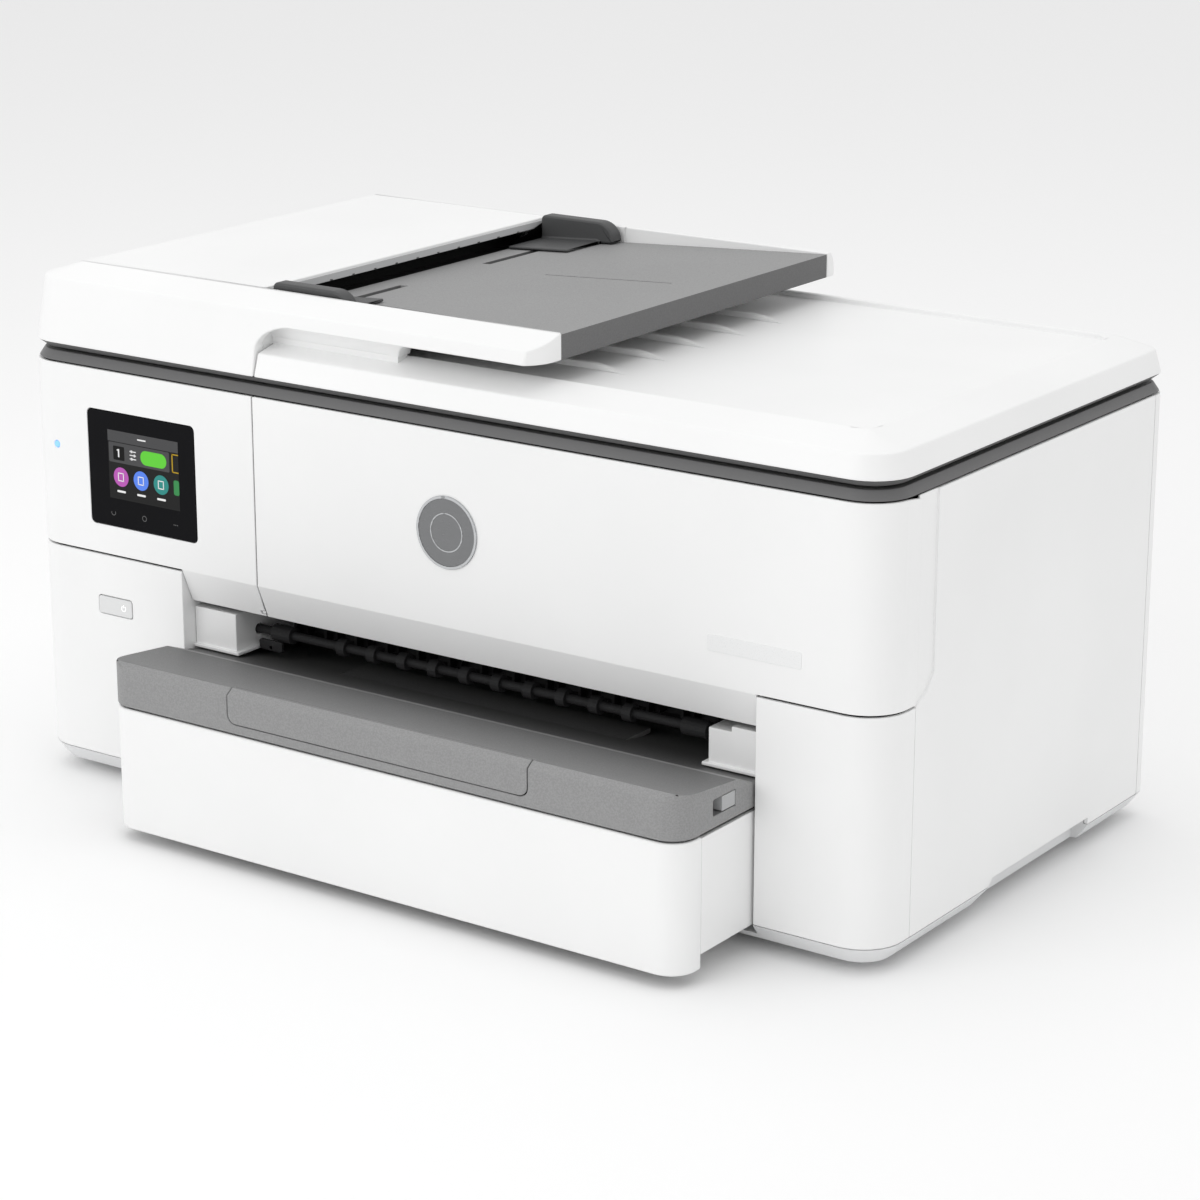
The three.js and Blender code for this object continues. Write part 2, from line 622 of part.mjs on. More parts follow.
function makeCarriage() {
  const y0 = front + railInset;
  const railFront0 = y0 - railFlange + railGauge;
  const x0 = left + parkClear;
  const x1 = right - parkClear;
  const rail = join(
    block(x0, x1, y0, y0 + railGauge, railBase, railBase + railHeight),
    block(x0, x1, railFront0, y0 + 1, railBase, railBase + railGauge),
    block(x0, x1, railFront0, y0 + 1, railBase + railHeight - railGauge, railBase + railHeight));
  addPart('carriage_rail', rail, steel);

  const cx = right - parkClear - carriageWidth / 2;
  const yf = front + carriageFront;
  const yb = front + carriageBack;
  const half = carriageWidth / 2;
  let body = block(cx - half, cx + half, yf, yb, carriageBottom, carriageTop);
  body = join(body,
    block(cx - 42, cx + 42, yf + 40, yf + 70, carriageBottom - 3.5, carriageBottom + 1),
    block(cx - 50, cx + 50, yb - 1, y0 - 2, railBase + railGauge + gap, railBase + railGauge + 8),
    block(cx - 8, cx + 8, yb - 1, yb + 3, carriageTop - 4, carriageTop + 6),
    block(cx - half, cx + half, yb - 8, yb, carriageTop - 1, carriageTop + 26));
  const pitch = (carriageWidth - 8) / 4;
  const pocketFloor = carriageBottom + 12;
  const names = ['black', 'cyan', 'magenta', 'yellow'];
  const colours = [0x1a1a1a, 0x1f8fc4, 0xc43a80, 0xe2c21f];
  names.forEach((name, i) => {
    const px = cx - half + 4 + pitch * (i + 0.5);
    const pocket = block(px - cartridgeWidth / 2 - gap, px + cartridgeWidth / 2 + gap,
      yf + 6 - gap, yb - 14 + gap, pocketFloor, carriageTop + 1);
    body = cut(body, pocket);
    const tank = block(px - cartridgeWidth / 2, px + cartridgeWidth / 2, yf + 6, yb - 14,
      pocketFloor + gap, cartridgeTop - 14);
    const tab = prismX([[yf + 6, cartridgeTop - 26], [yf + 30, cartridgeTop - 15],
      [yf + 30, cartridgeTop - 13], [yf + 2, cartridgeTop - 8], [yf + 2, cartridgeTop - 12]],
    px - 8, px + 8);
    addPart(`ink_cartridge_${name}`, join(tank, tab), finish(colours[i], 0.45));
  });
  addPart('carriage', body, blackPlastic);

  const beltY0 = yb + 3.4;
  const beltZ = carriageTop - 2;
  const pulleyR = 2.6;
  const px0 = x0 + 12;
  const px1 = x1 - 12;
  const cy = beltY0 + beltThickness + gap + pulleyR;
  const around = (extra) => beltOutline(px0, cy, pulleyR + extra, px1, cy, pulleyR + extra);
  addPart('carriage_belt', cut(prismZ(around(gap + beltThickness), beltZ, beltZ + beltWidth),
    prismZ(around(gap), beltZ - 1, beltZ + beltWidth + 1)), rubber);
  addPart('carriage_motor', join(
    rodZ(px1, cy, pulleyR, beltZ - 1, beltZ + beltWidth + 1, 16),
    rodZ(px1, cy, 1.5, beltZ, railBase + railHeight - railGauge - gap, 12)), steel);

  const stationX0 = frameRight + frameGauge + 1;
  const station = join(
    block(stationX0, right - innerClear, front + 50, front + 146, floorTop + gap, carriageBottom - 20),
    block(stationX0 + 6, right - innerClear - 2, front + 74, front + 118,
      carriageBottom - 21, carriageBottom - 5));
  addPart('service_station', station, blackPlastic);
}

function makeElectronics() {
  const supply = block(left + innerClear, left + innerClear + supplyWidth, back - 140, back - 21,
    floorTop + gap, drawerTop - 17);
  const inlet = block(inletX - inletWidth / 2 + gap, inletX + inletWidth / 2 - gap, back - 22, back - gap,
    inletZ + gap, inletZ + inletHeight - gap);
  const socket = block(inletX - 10, inletX + 10, back - 14, back + 1, inletZ + 6, inletZ + inletHeight - 6);
  addPart('power_supply', cut(join(supply, inlet), socket), blackPlastic);
  const boardX = left + wall + 3;
  addPart('main_board', block(boardX, boardX + boardThickness, front + 60, back - 40,
    drawerTop - 9, carriageTop + 30), boardGreen);
}

// ---------------------------------------------------------------- drawer and output tray

function makeDrawer() {
  const x0 = openLeft + drawerClear;
  const x1 = openRight - drawerClear;
  const y0 = front - trayReach;
  const y1 = y0 + drawerLength;
  const outline = roundedOutline(x0, x1, y0, y0 + 80, trayCorner);
  const inside = roundedOutline(x0 + wall, x1 - wall, y0 + wall + 0.5, y0 + 80,
    trayCorner - wall);
  const keep = block(x0 - 1, x1 + 1, y0 - 1, y0 + drawerFrontDepth, 0, far);
  const shell = cut(prismZ(outline, drawerBottom, drawerTop),
    prismZ(inside, drawerBottom - 1, drawerTop + 1));
  const panel = shell.intersect(keep);
  addPart('drawer_front', panel, whitePlastic);

  const b0 = x0 + wall + gap;
  const b1 = x1 - wall - gap;
  const step = y0 + drawerFrontDepth + gap;
  const floorZ = floorTop + drawerFloorRise;
  const bodyFront = y0 + trayCorner;
  const outer = join(
    block(b0 + 8, b1 - 8, bodyFront, step + 1, floorZ, drawerTop - 1),
    block(x0 + 0.5, x1 - 0.5, step, y1, floorZ, drawerTop - 1));
  const inner = block(x0 + 0.5 + drawerWall, x1 - 0.5 - drawerWall, step + drawerWall, y1 - drawerWall,
    floorZ + drawerWall, far);
  const nose = block(b0 + 8 + drawerWall, b1 - 8 - drawerWall, bodyFront + drawerWall, step + drawerWall + 1,
    floorZ + drawerWall, far);
  const rearLow = block(x0, x1, y1 - 60, y1 + 1, pickHeight - pickRadius - 25, far);
  addPart('drawer_body', cut(outer, inner, nose, rearLow), whitePlastic);

  const guideZ = floorZ + drawerWall + gap;
  const guideY0 = front + 60;
  const guideY1 = y1 - 78.5;
  const inset = 38;
  const gl = x0 + inset;
  const gr = x1 - inset;
  addPart('width_guide_left', join(
    block(gl - 3, gl, guideY0, guideY1, guideZ, drawerTop - 19),
    block(gl - 16, gl - 2, guideY0 + 30, guideY1 - 30, guideZ, guideZ + 3)), guideGrey);
  addPart('width_guide_right', join(
    block(gr, gr + 3, guideY0, guideY1, guideZ, drawerTop - 19),
    block(gr + 2, gr + 16, guideY0 + 30, guideY1 - 30, guideZ, guideZ + 3)), guideGrey);
  addPart('length_guide', join(
    block(pathCentre - 35, pathCentre + 35, y0 + 34, y0 + 37, guideZ, drawerTop - 24),
    block(pathCentre - 20, pathCentre + 20, y0 + 36, y0 + 60, guideZ, guideZ + 3)), guideGrey);
}

// Front panel of the extension with its two lower corners rounded, in X and Z.
function panelOutline(x0, x1, bottom, top) {
  const r = extensionCorner;
  const corner = (x, turn) => Array.from({ length: arcSteps + 1 }, (_, i) => {
    const angle = (turn + i / arcSteps) * (Math.PI / 2);
    return [x + r * Math.cos(angle), bottom + r + r * Math.sin(angle)];
  });
  return [[x0, top], ...corner(x0 + r, 2), ...corner(x1 - r, 3), [x1, top]];
}

function makeOutputTray() {
  const x0 = openLeft + 1;
  const x1 = openRight - 1.2;
  const y0 = front - trayReach;
  const y1 = y0 + trayLength;
  const plan = prismZ(roundedOutline(x0, x1, y0, y1, trayCorner, 3), trayBottom, trayFrontTop + 5);
  const side = prismX([
    [y0, trayBottom], [y1, trayBottom], [y1, trayRearTop], [front + 62, trayRearTop],
    [front + 30, trayMouthTop - 5], [front, trayMouthTop], [front - trayKnee, trayBottom + trayKneeRise],
    [y0 + trayBevelDepth, trayFrontTop],
    [y0, trayFrontTop - trayBevel],
  ], x0 - 1, x1 + 1);
  const ex0 = pathCentre - 2.5 - extensionWidth / 2;
  const ex1 = ex0 + extensionWidth;
  const plateBottom = extensionBottom + 1;
  const plateTop = plateBottom + extensionPlate;
  const face = panelOutline(ex0 - 0.5, ex1 + 0.5, extensionBottom, trayFrontTop + 6);
  const slot = block(ex0 + 3, ex1 - 3, y0 - 1, y0 + extensionLength + 6, plateBottom - gap, plateTop + gap);
  const latchStart = front - latchFront - 6;
  const latchEnd = latchStart + latchWindow;
  const latchTop = latchBottom + latchHeight;
  const latchRecess = block(x1 - latchDepth, x1 + 1, latchStart, latchEnd, latchBottom, latchTop);
  const faceHole = prismY(face, y0 - 1, y0 + extensionFace);
  addPart('output_tray', cut(plan.intersect(side), faceHole, slot, latchRecess), trayGrey);

  const panel = panelOutline(ex0, ex1, extensionBottom + gap, trayFrontTop + 1);
  const panelFront = prismY(panel, y0, y0 + extensionFace - gap).intersect(side);
  const plate = block(ex0 + 3.4, ex1 - 3.4, y0 + 1, y0 + extensionLength, plateBottom, plateTop);
  addPart('output_extension', join(panelFront, plate), trayGrey);

  addPart('tray_latch', block(x1 - latchDepth + gap, x1 - 0.2, latchEnd - gap - latchWidth, latchEnd - gap,
    latchBottom + gap, latchTop - gap), paleGrey);
}

// ---------------------------------------------------------------- scanner

function makeScanner() {
  const rim = loft([[bodyOutline(0.6), rimBottom], [bodyOutline(rimInset), rimTop]]);
  const tub = prismZ(bodyOutline(tubInset), tubFloor, rimBottom + 1);
  const cavity = prismZ(bodyOutline(tubInset + wall), tubFloor + wall, rimTop - glassThickness - 0.5);
  const gx0 = left + 86;
  const gx1 = right - 66;
  const gy0 = front + 36;
  const gy1 = back - 40;
  const window = block(gx0 + 4, gx1 - 4, gy0 + 4, gy1 - 4, tubFloor + 10, rimTop + 1);
  const seat = block(gx0 - gap, gx1 + gap, gy0 - gap, gy1 + gap, rimTop - glassThickness - gap, rimTop + 1);
  let base = cut(join(rim, tub), cavity, window, seat);
  for (const x of hingePlaces) base = cut(base, hingeSlot(x));
  addPart('scanner_base', base, trayGrey);
  addPart('scanner_glass', block(gx0, gx1, gy0, gy1, rimTop - glassThickness, rimTop), clearGlass);

  const barX = gx0 - 20;
  const barTop = rimTop - glassThickness - gap - 1.5;
  const bar = block(barX, barX + scanBarWidth, gy0 - 4, gy1 + 4, tubFloor + wall + 1, barTop);
  addPart('scan_bar', bar, blackPlastic);
}

// ---------------------------------------------------------------- lid and its hinges

function hingeSlot(x) {
  const reach = earGap + earWidth + gap;
  return block(x - reach, x + reach, back - 12, back + 1, bodyTop - 6, lidBottom);
}

function makeHinges() {
  hingePlaces.forEach((x, i) => {
    const ears = [x - earGap - earWidth, x + earGap];
    const seatBack = back - wall - gap;
    let bracket = block(x - earGap - earWidth, x + earGap + earWidth, back - 11.5, seatBack,
      bodyTop - 5.5, bodyTop - 1);
    for (const ear of ears) {
      bracket = join(bracket,
        rodX(lidHingeY, lidHingeZ, knuckle, ear, ear + earWidth, 16),
        block(ear, ear + earWidth, seatBack - 3.5, seatBack, bodyTop - 2, lidHingeZ));
    }
    bracket = join(bracket, rodX(lidHingeY, lidHingeZ, 1, x - earGap - 1, x + earGap + 1, 12));
    addPart(`hinge_bracket_${i === 0 ? 'left' : 'right'}`, bracket, blackPlastic);
    const arm = earGap - 0.5;
    const leaf = cut(
      join(rodX(lidHingeY, lidHingeZ, knuckle, x - arm, x + arm, 16),
        block(x - arm, x + arm, lidHingeY - 14, lidHingeY, lidHingeZ - 1.6, lidHingeZ + 0.8)),
      rodX(lidHingeY, lidHingeZ, 1.3, x - earGap, x + earGap, 12));
    addPart(`lid_hinge_${i === 0 ? 'left' : 'right'}`, leaf, blackPlastic);
  });
}

function hingeRelief(x) {
  const reach = earGap + earWidth + 0.6;
  const high = lidHingeZ + knuckle + 0.5;
  return join(
    rodX(lidHingeY, lidHingeZ, knuckle + 0.5, x - reach, x + reach, 20),
    block(x - reach, x + reach, lidHingeY, back + 1, lidBottom - 6, high),
    block(x - reach, x + reach, lidHingeY - 4, back + 1, lidBottom - 6, lidHingeZ),
    block(x - earGap, x + earGap, lidHingeY - 14.5, back + 1, lidBottom - 6, lidHingeZ + 1.2));
}

// Quarter of an ellipse from (u - a, v) up to (u, v + b), as outline points.
function quarter(u, v, a, b) {
  return Array.from({ length: arcSteps + 1 }, (_, i) => {
    const angle = (Math.PI * i) / (2 * arcSteps);
    return [u - a * Math.cos(angle), v + b * Math.sin(angle)];
  });
}

// Front of the feeder beside the finger scoop, curving up from the lid's edge to the rail, in X and Z.
function cheekOutline() {
  const arc = quarter(adfRight + cheekLength, wingEdge + 2, cheekLength + seam / 2,
    railBottom - wingEdge - 1.5);
  return [[adfRight - seam, wingEdge + 2], ...arc, [adfRight + cheekLength, railBottom + 1],
    [adfRight - seam, railBottom + 1]];
}

// Hollow finger scoop under the front rail. It ends to the right in a curve that rises to the rail.
function makeScoop() {
  const high = railBottom + 1;
  const hollow = Array.from({ length: arcSteps + 1 }, (_, i) => {
    const angle = (Math.PI * i) / (2 * arcSteps);
    return [front + 8 + 10 * Math.sin(angle), wingEdge + 2.6 + (high - wingEdge - 3.6) * Math.cos(angle)];
  });
  const section = [...hollow, [front + railFront, wingEdge + 2.6], [front + railFront, high],
    [front + 8, high]];
  const foot = wingTop + 0.7;
  const side = [[adfRight - seam, foot], [adfRight + scoopLength - scoopEnd, foot],
    ...quarter(adfRight + scoopLength, foot, scoopEnd, high - foot), [adfRight - seam, high]];
  return prismX(section.reverse(), adfRight - seam, adfRight + scoopLength)
    .intersect(prismY(side, front, front + railFront + 1));
}

function makeLid() {
  const relief = join(hingeRelief(hingePlaces[0]), hingeRelief(hingePlaces[1]));
  const bandTop = lidBottom - gap;
  const bandBottom = bandTop - bandHeight + gap;
  const band = cut(
    loft([[bodyOutline(rimInset + 0.6, rimInset + 0.6, 3), bandBottom], [bodyOutline(0.8), bandTop]]),
    prismZ(bodyOutline(tubInset, tubInset, padBackInset), bandBottom - 1, bandTop + 1), relief);
  addPart('lid_band', band, trayGrey);
  const padPlan = bodyOutline(tubInset + gap, tubInset + gap, padBackInset + gap);
  addPart('document_pad', prismZ(padPlan, bandBottom - 0.4, bandTop), foam);

  const wingShell = cut(
    loft([[bodyOutline(0), lidBottom], [bodyOutline(4, 4, 2), wingEdge],
      [bodyOutline(wingRim, wingRim, 12), wingTop]]),
    loft([[bodyOutline(wall), lidBottom - 0.5], [bodyOutline(4 + wall, 4 + wall, 5), wingEdge - 3],
      [bodyOutline(wingRim, wingRim, 14), wingTop - recessDepth - wall]]),
    prismZ(roundedOutline(adfRight - 60, right - wingRim, front + wingRim, back - 16, 14),
      wingTop - recessDepth, wingTop + 1),
    relief);
  const wing = wingShell.intersect(block(adfRight + seam / 2, right + 1, front - 1, back + 1, 0, far));
  const ribs = [];
  for (let i = 0; i < 5; i += 1) {
    const y = front + 68.8 + 39 * i;
    if (y < back - 40) {
      const low = wingTop - recessDepth - 1;
      ribs.push(prismY([[adfRight + 40, low], [plateEnd + 21, low],
        [plateEnd - 6, wingTop + 0.8], [adfRight + 40, wingTop + 0.8]], y - 2, y + 2));
    }
  }
  addPart('lid_wing', join(wing, ...ribs), whitePlastic);

  const outer = loft([[bodyOutline(0), lidBottom], [bodyOutline(6, 6, 5), adfEdge],
    [bodyOutline(adfRim, adfRim, adfRearRim), adfTop]]);
  const inner = loft([[bodyOutline(wall), lidBottom - 0.5],
    [bodyOutline(6 + wall, 6 + wall, 5 + wall), adfEdge - 2],
    [bodyOutline(adfRim, adfRim, adfRearRim + 3), adfTop - wall]]);
  const bodyEnd = adfRight - seam / 2;
  const body = cut(outer, inner).intersect(block(left - 1, bodyEnd, front - 1, back + 1, 0, far));
  const endWall = outer.intersect(block(bodyEnd - wall, bodyEnd, front + 1, back - 1,
    lidBottom, wingTop - 4));
  const railPlan = roundedOutline(left, plateEnd, front, back, 22, 8);
  const rails = outer.intersect(prismZ(railPlan, railBottom, far))
    .subtract(block(left - 1, adfRight - 2, front - 1, back + 1, 0, far))
    .subtract(block(left - 1, right, front + railFront, back - railRear, 0, far));
  const scoop = makeScoop();
  const cheek = outer.intersect(prismY(cheekOutline(), front, front + 9));
  const rearFill = outer.intersect(block(adfRight - 2, adfRight + 60, back - railRear, back + 1,
    wingTop + 0.6, railBottom + 1));
  const coverHole = block(left + adfRim - gap, coverRight + 60, front + railFront - 0.5,
    back - railRear + 0.5, trayLow - 3, far);
  const adf = cut(join(body, endWall, rails, scoop, cheek, rearFill), coverHole, relief);
  addPart('feeder_base', adf, whitePlastic);
}

function makeFeeder() {
  const y0 = front + railFront;
  const y1 = back - railRear;
  const cx0 = left + adfRim;
  const cover = cut(
    join(block(cx0, coverRight, y0, y1, adfTop - 3.5, adfTop),
      block(coverRight - 3, coverRight, y0 + 1, y1 - 1, adfTop - 6, adfTop - 1)),
    block(cx0 + 6, coverRight - 8, y0 + 6, y1 - 6, adfTop - 5, adfTop - 2));
  const lug = (y) => block(rollerX - 5, rollerX + 5, y, y + 3, adfTop - 16, adfTop - 1.5);
  const rollerY0 = (y0 + y1) / 2 - 30;
  const rollerY1 = rollerY0 + 60;
  const rollerHole = prismY(disc(rollerX, adfTop - 13, 2.9, 12), rollerY0 - 10, rollerY1 + 10);
  addPart('feeder_cover', cut(join(cover, lug(rollerY0 - 5), lug(rollerY1 + 2)), rollerHole), whitePlastic);
  addPart('feeder_roller', join(
    prismY(disc(rollerX, adfTop - 13, 8, 20), rollerY0, rollerY1),
    prismY(disc(rollerX, adfTop - 13, 2.5, 12), rollerY0 - 5, rollerY1 + 5)), rubber);

  const profile = [[coverRight + 4, trayLow], [plateEnd - 0.2, adfTop - 0.8],
    [plateEnd - 0.2, adfTop - 0.8 - trayPlate], [adfRight + 2, trayLow - 9],
    [adfRight + 2, trayLow - 3], [coverRight + 4, trayLow - 3]];
  const slotDepth = 4;
  let tray = prismY(profile, y0 + gap, y1 - gap);
  const slots = guideSlots(y0, y1);
  for (const [a, b] of slots) {
    tray = cut(tray, block(coverRight + 22, coverRight + 28, a, b, trayLow - slotDepth + 1.6, far));
  }
  addPart('feeder_tray', tray, trayGrey);

  const slope = (adfTop - 0.8 - trayLow) / (plateEnd - coverRight - 4.2);
  const topAt = (x) => trayLow + slope * (x - coverRight - 4);
  const gx0 = coverRight + 5;
  const gx1 = gx0 + guideLength;
  const guideTop = adfTop + guideRise;
  const tip = quarter(0, topAt(gx1) + 1.5, 12, guideTop - topAt(gx1) - 1.5)
    .map(([u, v]) => [gx1 - 12 - u, v]);
  const guide = (ya, yb, side) => {
    const wallY = side < 0 ? ya : yb - guideWall;
    const heel = quarter(0, guideTop - 3, 3, 3).reverse().map(([u, v]) => [gx0 + 3 + u, v]);
    const wallPiece = prismY([[gx0, topAt(gx0) + 0.6], [gx1, topAt(gx1) + 0.6], ...tip, ...heel],
      wallY, wallY + guideWall);
    const foot = prismY([[gx0, topAt(gx0) + 0.4], [gx1 - 10, topAt(gx1 - 10) + 0.4],
      [gx1 - 10, topAt(gx1 - 10) + 2], [gx0, topAt(gx0) + 2]], ya, yb);
    const keelY = side < 0 ? ya + 12 : yb - 30;
    const keel = block(coverRight + 22.5, coverRight + 27.5, keelY, keelY + 18,
      trayLow - slotDepth + 2, topAt(gx0 + 20) + 1);
    return join(wallPiece, foot, keel);
  };
  addPart('feeder_guide_front', guide(y0 + 1.5, y0 + 1.5 + guideReach, -1), guideGrey);
  addPart('feeder_guide_rear', guide(y1 - 1.5 - guideReach, y1 - 1.5, 1), guideGrey);
}

// Slots in the feeder tray that the keels of the two guides run in.
function guideSlots(y0, y1) {
  return [[y0 + 12, y0 + 12 + 22 + guideTravel], [y1 - 34 - guideTravel, y1 - 12]];
}

makeBase();
makeSides();
makeColumns();
makeControlPanel();
makeDoor();
makeOutletBlocks();
makeExitShaft();
makeFeed();
makeBelts();
makeFrames();
makeCarriage();
makeElectronics();
makeDrawer();
makeOutputTray();
makeScanner();
makeHinges();
makeLid();
makeFeeder();

export default printer;
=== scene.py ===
import json
import math

import bmesh
import bpy
from mathutils import Matrix, Vector


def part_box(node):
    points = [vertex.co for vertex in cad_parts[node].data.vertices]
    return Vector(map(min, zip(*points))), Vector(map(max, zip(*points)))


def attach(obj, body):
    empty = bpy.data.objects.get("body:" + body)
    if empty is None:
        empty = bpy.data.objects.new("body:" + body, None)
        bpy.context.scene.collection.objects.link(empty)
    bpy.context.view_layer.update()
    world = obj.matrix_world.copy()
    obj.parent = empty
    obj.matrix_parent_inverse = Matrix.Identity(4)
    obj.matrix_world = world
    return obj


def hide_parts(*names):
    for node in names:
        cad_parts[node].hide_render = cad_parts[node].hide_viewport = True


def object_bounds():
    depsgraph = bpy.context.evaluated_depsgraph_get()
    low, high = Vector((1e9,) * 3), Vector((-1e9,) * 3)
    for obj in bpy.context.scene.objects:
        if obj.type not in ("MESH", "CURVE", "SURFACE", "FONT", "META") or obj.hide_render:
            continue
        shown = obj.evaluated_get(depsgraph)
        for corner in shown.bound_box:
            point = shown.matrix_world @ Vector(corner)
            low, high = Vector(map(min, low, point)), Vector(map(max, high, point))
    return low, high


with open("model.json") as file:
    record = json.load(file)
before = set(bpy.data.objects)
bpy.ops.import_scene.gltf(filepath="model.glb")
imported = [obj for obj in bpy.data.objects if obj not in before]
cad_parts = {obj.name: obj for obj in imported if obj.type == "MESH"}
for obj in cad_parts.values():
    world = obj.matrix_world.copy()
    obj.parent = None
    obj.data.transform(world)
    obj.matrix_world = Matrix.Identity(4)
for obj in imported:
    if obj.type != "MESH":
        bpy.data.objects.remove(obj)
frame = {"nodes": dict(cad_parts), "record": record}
cadLow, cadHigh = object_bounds()
bodyOf = {node: body for body, nodes in frame["record"]["behaviour"]["bodies"].items() for node in nodes}
slotOf = {part["node"]: part["material_slot"] for part in frame["record"]["subparts"]}
mm = 0.001
axisNumber = {"X": 0, "Y": 1, "Z": 2}


# materials

def newMaterial(name, colour, roughness, metallic=0.0):
    material = bpy.data.materials.new(name)
    material.use_nodes = True
    shader = material.node_tree.nodes["Principled BSDF"]
    shader.inputs["Base Color"].default_value = (*colour, 1.0)
    shader.inputs["Roughness"].default_value = roughness
    shader.inputs["Metallic"].default_value = metallic
    return material, material.node_tree, shader


def objectNoise(tree, scale, detail=3.0, stretch=(1, 1, 1)):
    place = tree.nodes.new("ShaderNodeTexCoord")
    mapping = tree.nodes.new("ShaderNodeMapping")
    mapping.inputs["Scale"].default_value = stretch
    noise = tree.nodes.new("ShaderNodeTexNoise")
    noise.inputs["Scale"].default_value = scale
    noise.inputs["Detail"].default_value = detail
    tree.links.new(place.outputs["Object"], mapping.inputs["Vector"])
    tree.links.new(mapping.outputs["Vector"], noise.inputs["Vector"])
    return noise.outputs["Fac"]


def ramp(tree, source, low, high, start=0.35, end=0.65):
    node = tree.nodes.new("ShaderNodeValToRGB")
    node.color_ramp.elements[0].position = start
    node.color_ramp.elements[1].position = end
    node.color_ramp.elements[0].color = (*low, 1.0)
    node.color_ramp.elements[1].color = (*high, 1.0)
    tree.links.new(source, node.inputs["Fac"])
    return node.outputs["Color"]


def spread(tree, source, low, high, start=0.3, end=0.7):
    node = tree.nodes.new("ShaderNodeMapRange")
    node.inputs["From Min"].default_value = start
    node.inputs["From Max"].default_value = end
    node.inputs["To Min"].default_value = low
    node.inputs["To Max"].default_value = high
    tree.links.new(source, node.inputs["Value"])
    return node.outputs["Result"]


def multiply(tree, first, second):
    mix = tree.nodes.new("ShaderNodeMix")
    mix.data_type = "RGBA"
    mix.blend_type = "MULTIPLY"
    mix.inputs["Factor"].default_value = 1.0
    tree.links.new(first, mix.inputs["A"])
    tree.links.new(second, mix.inputs["B"])
    return mix.outputs["Result"]


def bump(tree, shader, source, strength, distance):
    node = tree.nodes.new("ShaderNodeBump")
    node.inputs["Strength"].default_value = strength
    node.inputs["Distance"].default_value = distance
    tree.links.new(source, node.inputs["Height"])
    tree.links.new(node.outputs["Normal"], shader.inputs["Normal"])


def mouldedPlastic(name, colour, roughness, grain=1400.0, depth=0.06, shade=0.02, speck=0.0, paintedShadeFade=None):
    material, tree, shader = newMaterial(name, colour, roughness)
    fine = objectNoise(tree, grain, 2.0)
    broad = objectNoise(tree, 7.0, 4.0)
    dark = [c * (1 - shade) for c in colour]
    pale = [min(1.0, c * (1 + shade * 0.6)) for c in colour]
    tint = ramp(tree, broad, dark, pale)
    if speck:
        specks = ramp(tree, objectNoise(tree, grain * 0.75, 1.0), [1 - speck] * 3, [1.0] * 3)
        tint = multiply(tree, tint, specks)
    if paintedShadeFade:  # painted shade: darkens from the first depth in Y to the second, in metres
        place = tree.nodes.new("ShaderNodeTexCoord")
        parts = tree.nodes.new("ShaderNodeSeparateXYZ")
        tree.links.new(place.outputs["Object"], parts.inputs["Vector"])
        far = spread(tree, parts.outputs["Y"], 0.0, 1.0, paintedShadeFade["from"], paintedShadeFade["to"])
        tint = multiply(tree, tint, ramp(tree, far, [1.0] * 3, [paintedShadeFade["least"]] * 3, 0.0, 1.0))
    tree.links.new(tint, shader.inputs["Base Color"])
    tree.links.new(spread(tree, fine, roughness - 0.05, roughness + 0.06), shader.inputs["Roughness"])
    bump(tree, shader, fine, depth, 0.0002)
    return material


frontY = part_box("column_left")[0].y
casingWhite = mouldedPlastic("casingWhite", (0.885, 0.887, 0.885), 0.42)
plateWhite = mouldedPlastic("plateWhite", (0.84, 0.845, 0.845), 0.3, 1400.0, 0.03)
buttonWhite = mouldedPlastic("buttonWhite", (0.74, 0.745, 0.745), 0.4, 1400.0, 0.05)
paleGreyPlastic = mouldedPlastic("paleGreyPlastic", (0.78, 0.785, 0.79), 0.46)
trayGrey = mouldedPlastic("trayGrey", (0.29, 0.29, 0.291), 0.55, 1500.0, 0.14, 0.03, 0.14)
# painted shade: a darker tray grey for the tray's top, darker still towards the outlet under the door
trayTopPaintedShade = mouldedPlastic("trayTopPaintedShade", (0.2, 0.2, 0.201), 0.5, 1500.0, 0.14, 0.03, 0.1,
                             {"from": frontY - 0.06, "to": frontY + 0.03, "least": 0.35})
# painted shade: a darker tray grey for the feeder tray's end faces that look along +X
endPaintedShade = mouldedPlastic("endPaintedShade", (0.135, 0.135, 0.136), 0.55, 1500.0, 0.14, 0.03, 0.12)
rimGrey = mouldedPlastic("rimGrey", (0.13, 0.13, 0.131), 0.4, 1300.0, 0.06)
guideGrey = mouldedPlastic("guideGrey", (0.06, 0.061, 0.062), 0.48, 1300.0, 0.12, 0.03, 0.06)
lipGrey = mouldedPlastic("lipGrey", (0.42, 0.425, 0.43), 0.45)
blackPlastic = mouldedPlastic("blackPlastic", (0.012, 0.012, 0.013), 0.5, 1300.0, 0.1, 0.05)
# near-black sheet for openings and joints: painted shade
paintedShadeBlack = mouldedPlastic("paintedShadeBlack", (0.003, 0.003, 0.003), 0.9, 1300.0, 0.1, 0.05)
rollerRubber = mouldedPlastic("rollerRubber", (0.018, 0.018, 0.019), 0.75, 900.0, 0.25, 0.08)
cyanPlastic = mouldedPlastic("cyanPlastic", (0.01, 0.3, 0.5), 0.4)
magentaPlastic = mouldedPlastic("magentaPlastic", (0.5, 0.02, 0.2), 0.4)
yellowPlastic = mouldedPlastic("yellowPlastic", (0.8, 0.55, 0.03), 0.4)
boardGreen = mouldedPlastic("boardGreen", (0.01, 0.12, 0.05), 0.35, 500.0, 0.1, 0.1)
padSheet = mouldedPlastic("padSheet", (0.82, 0.82, 0.8), 0.7, 700.0, 0.3, 0.02)


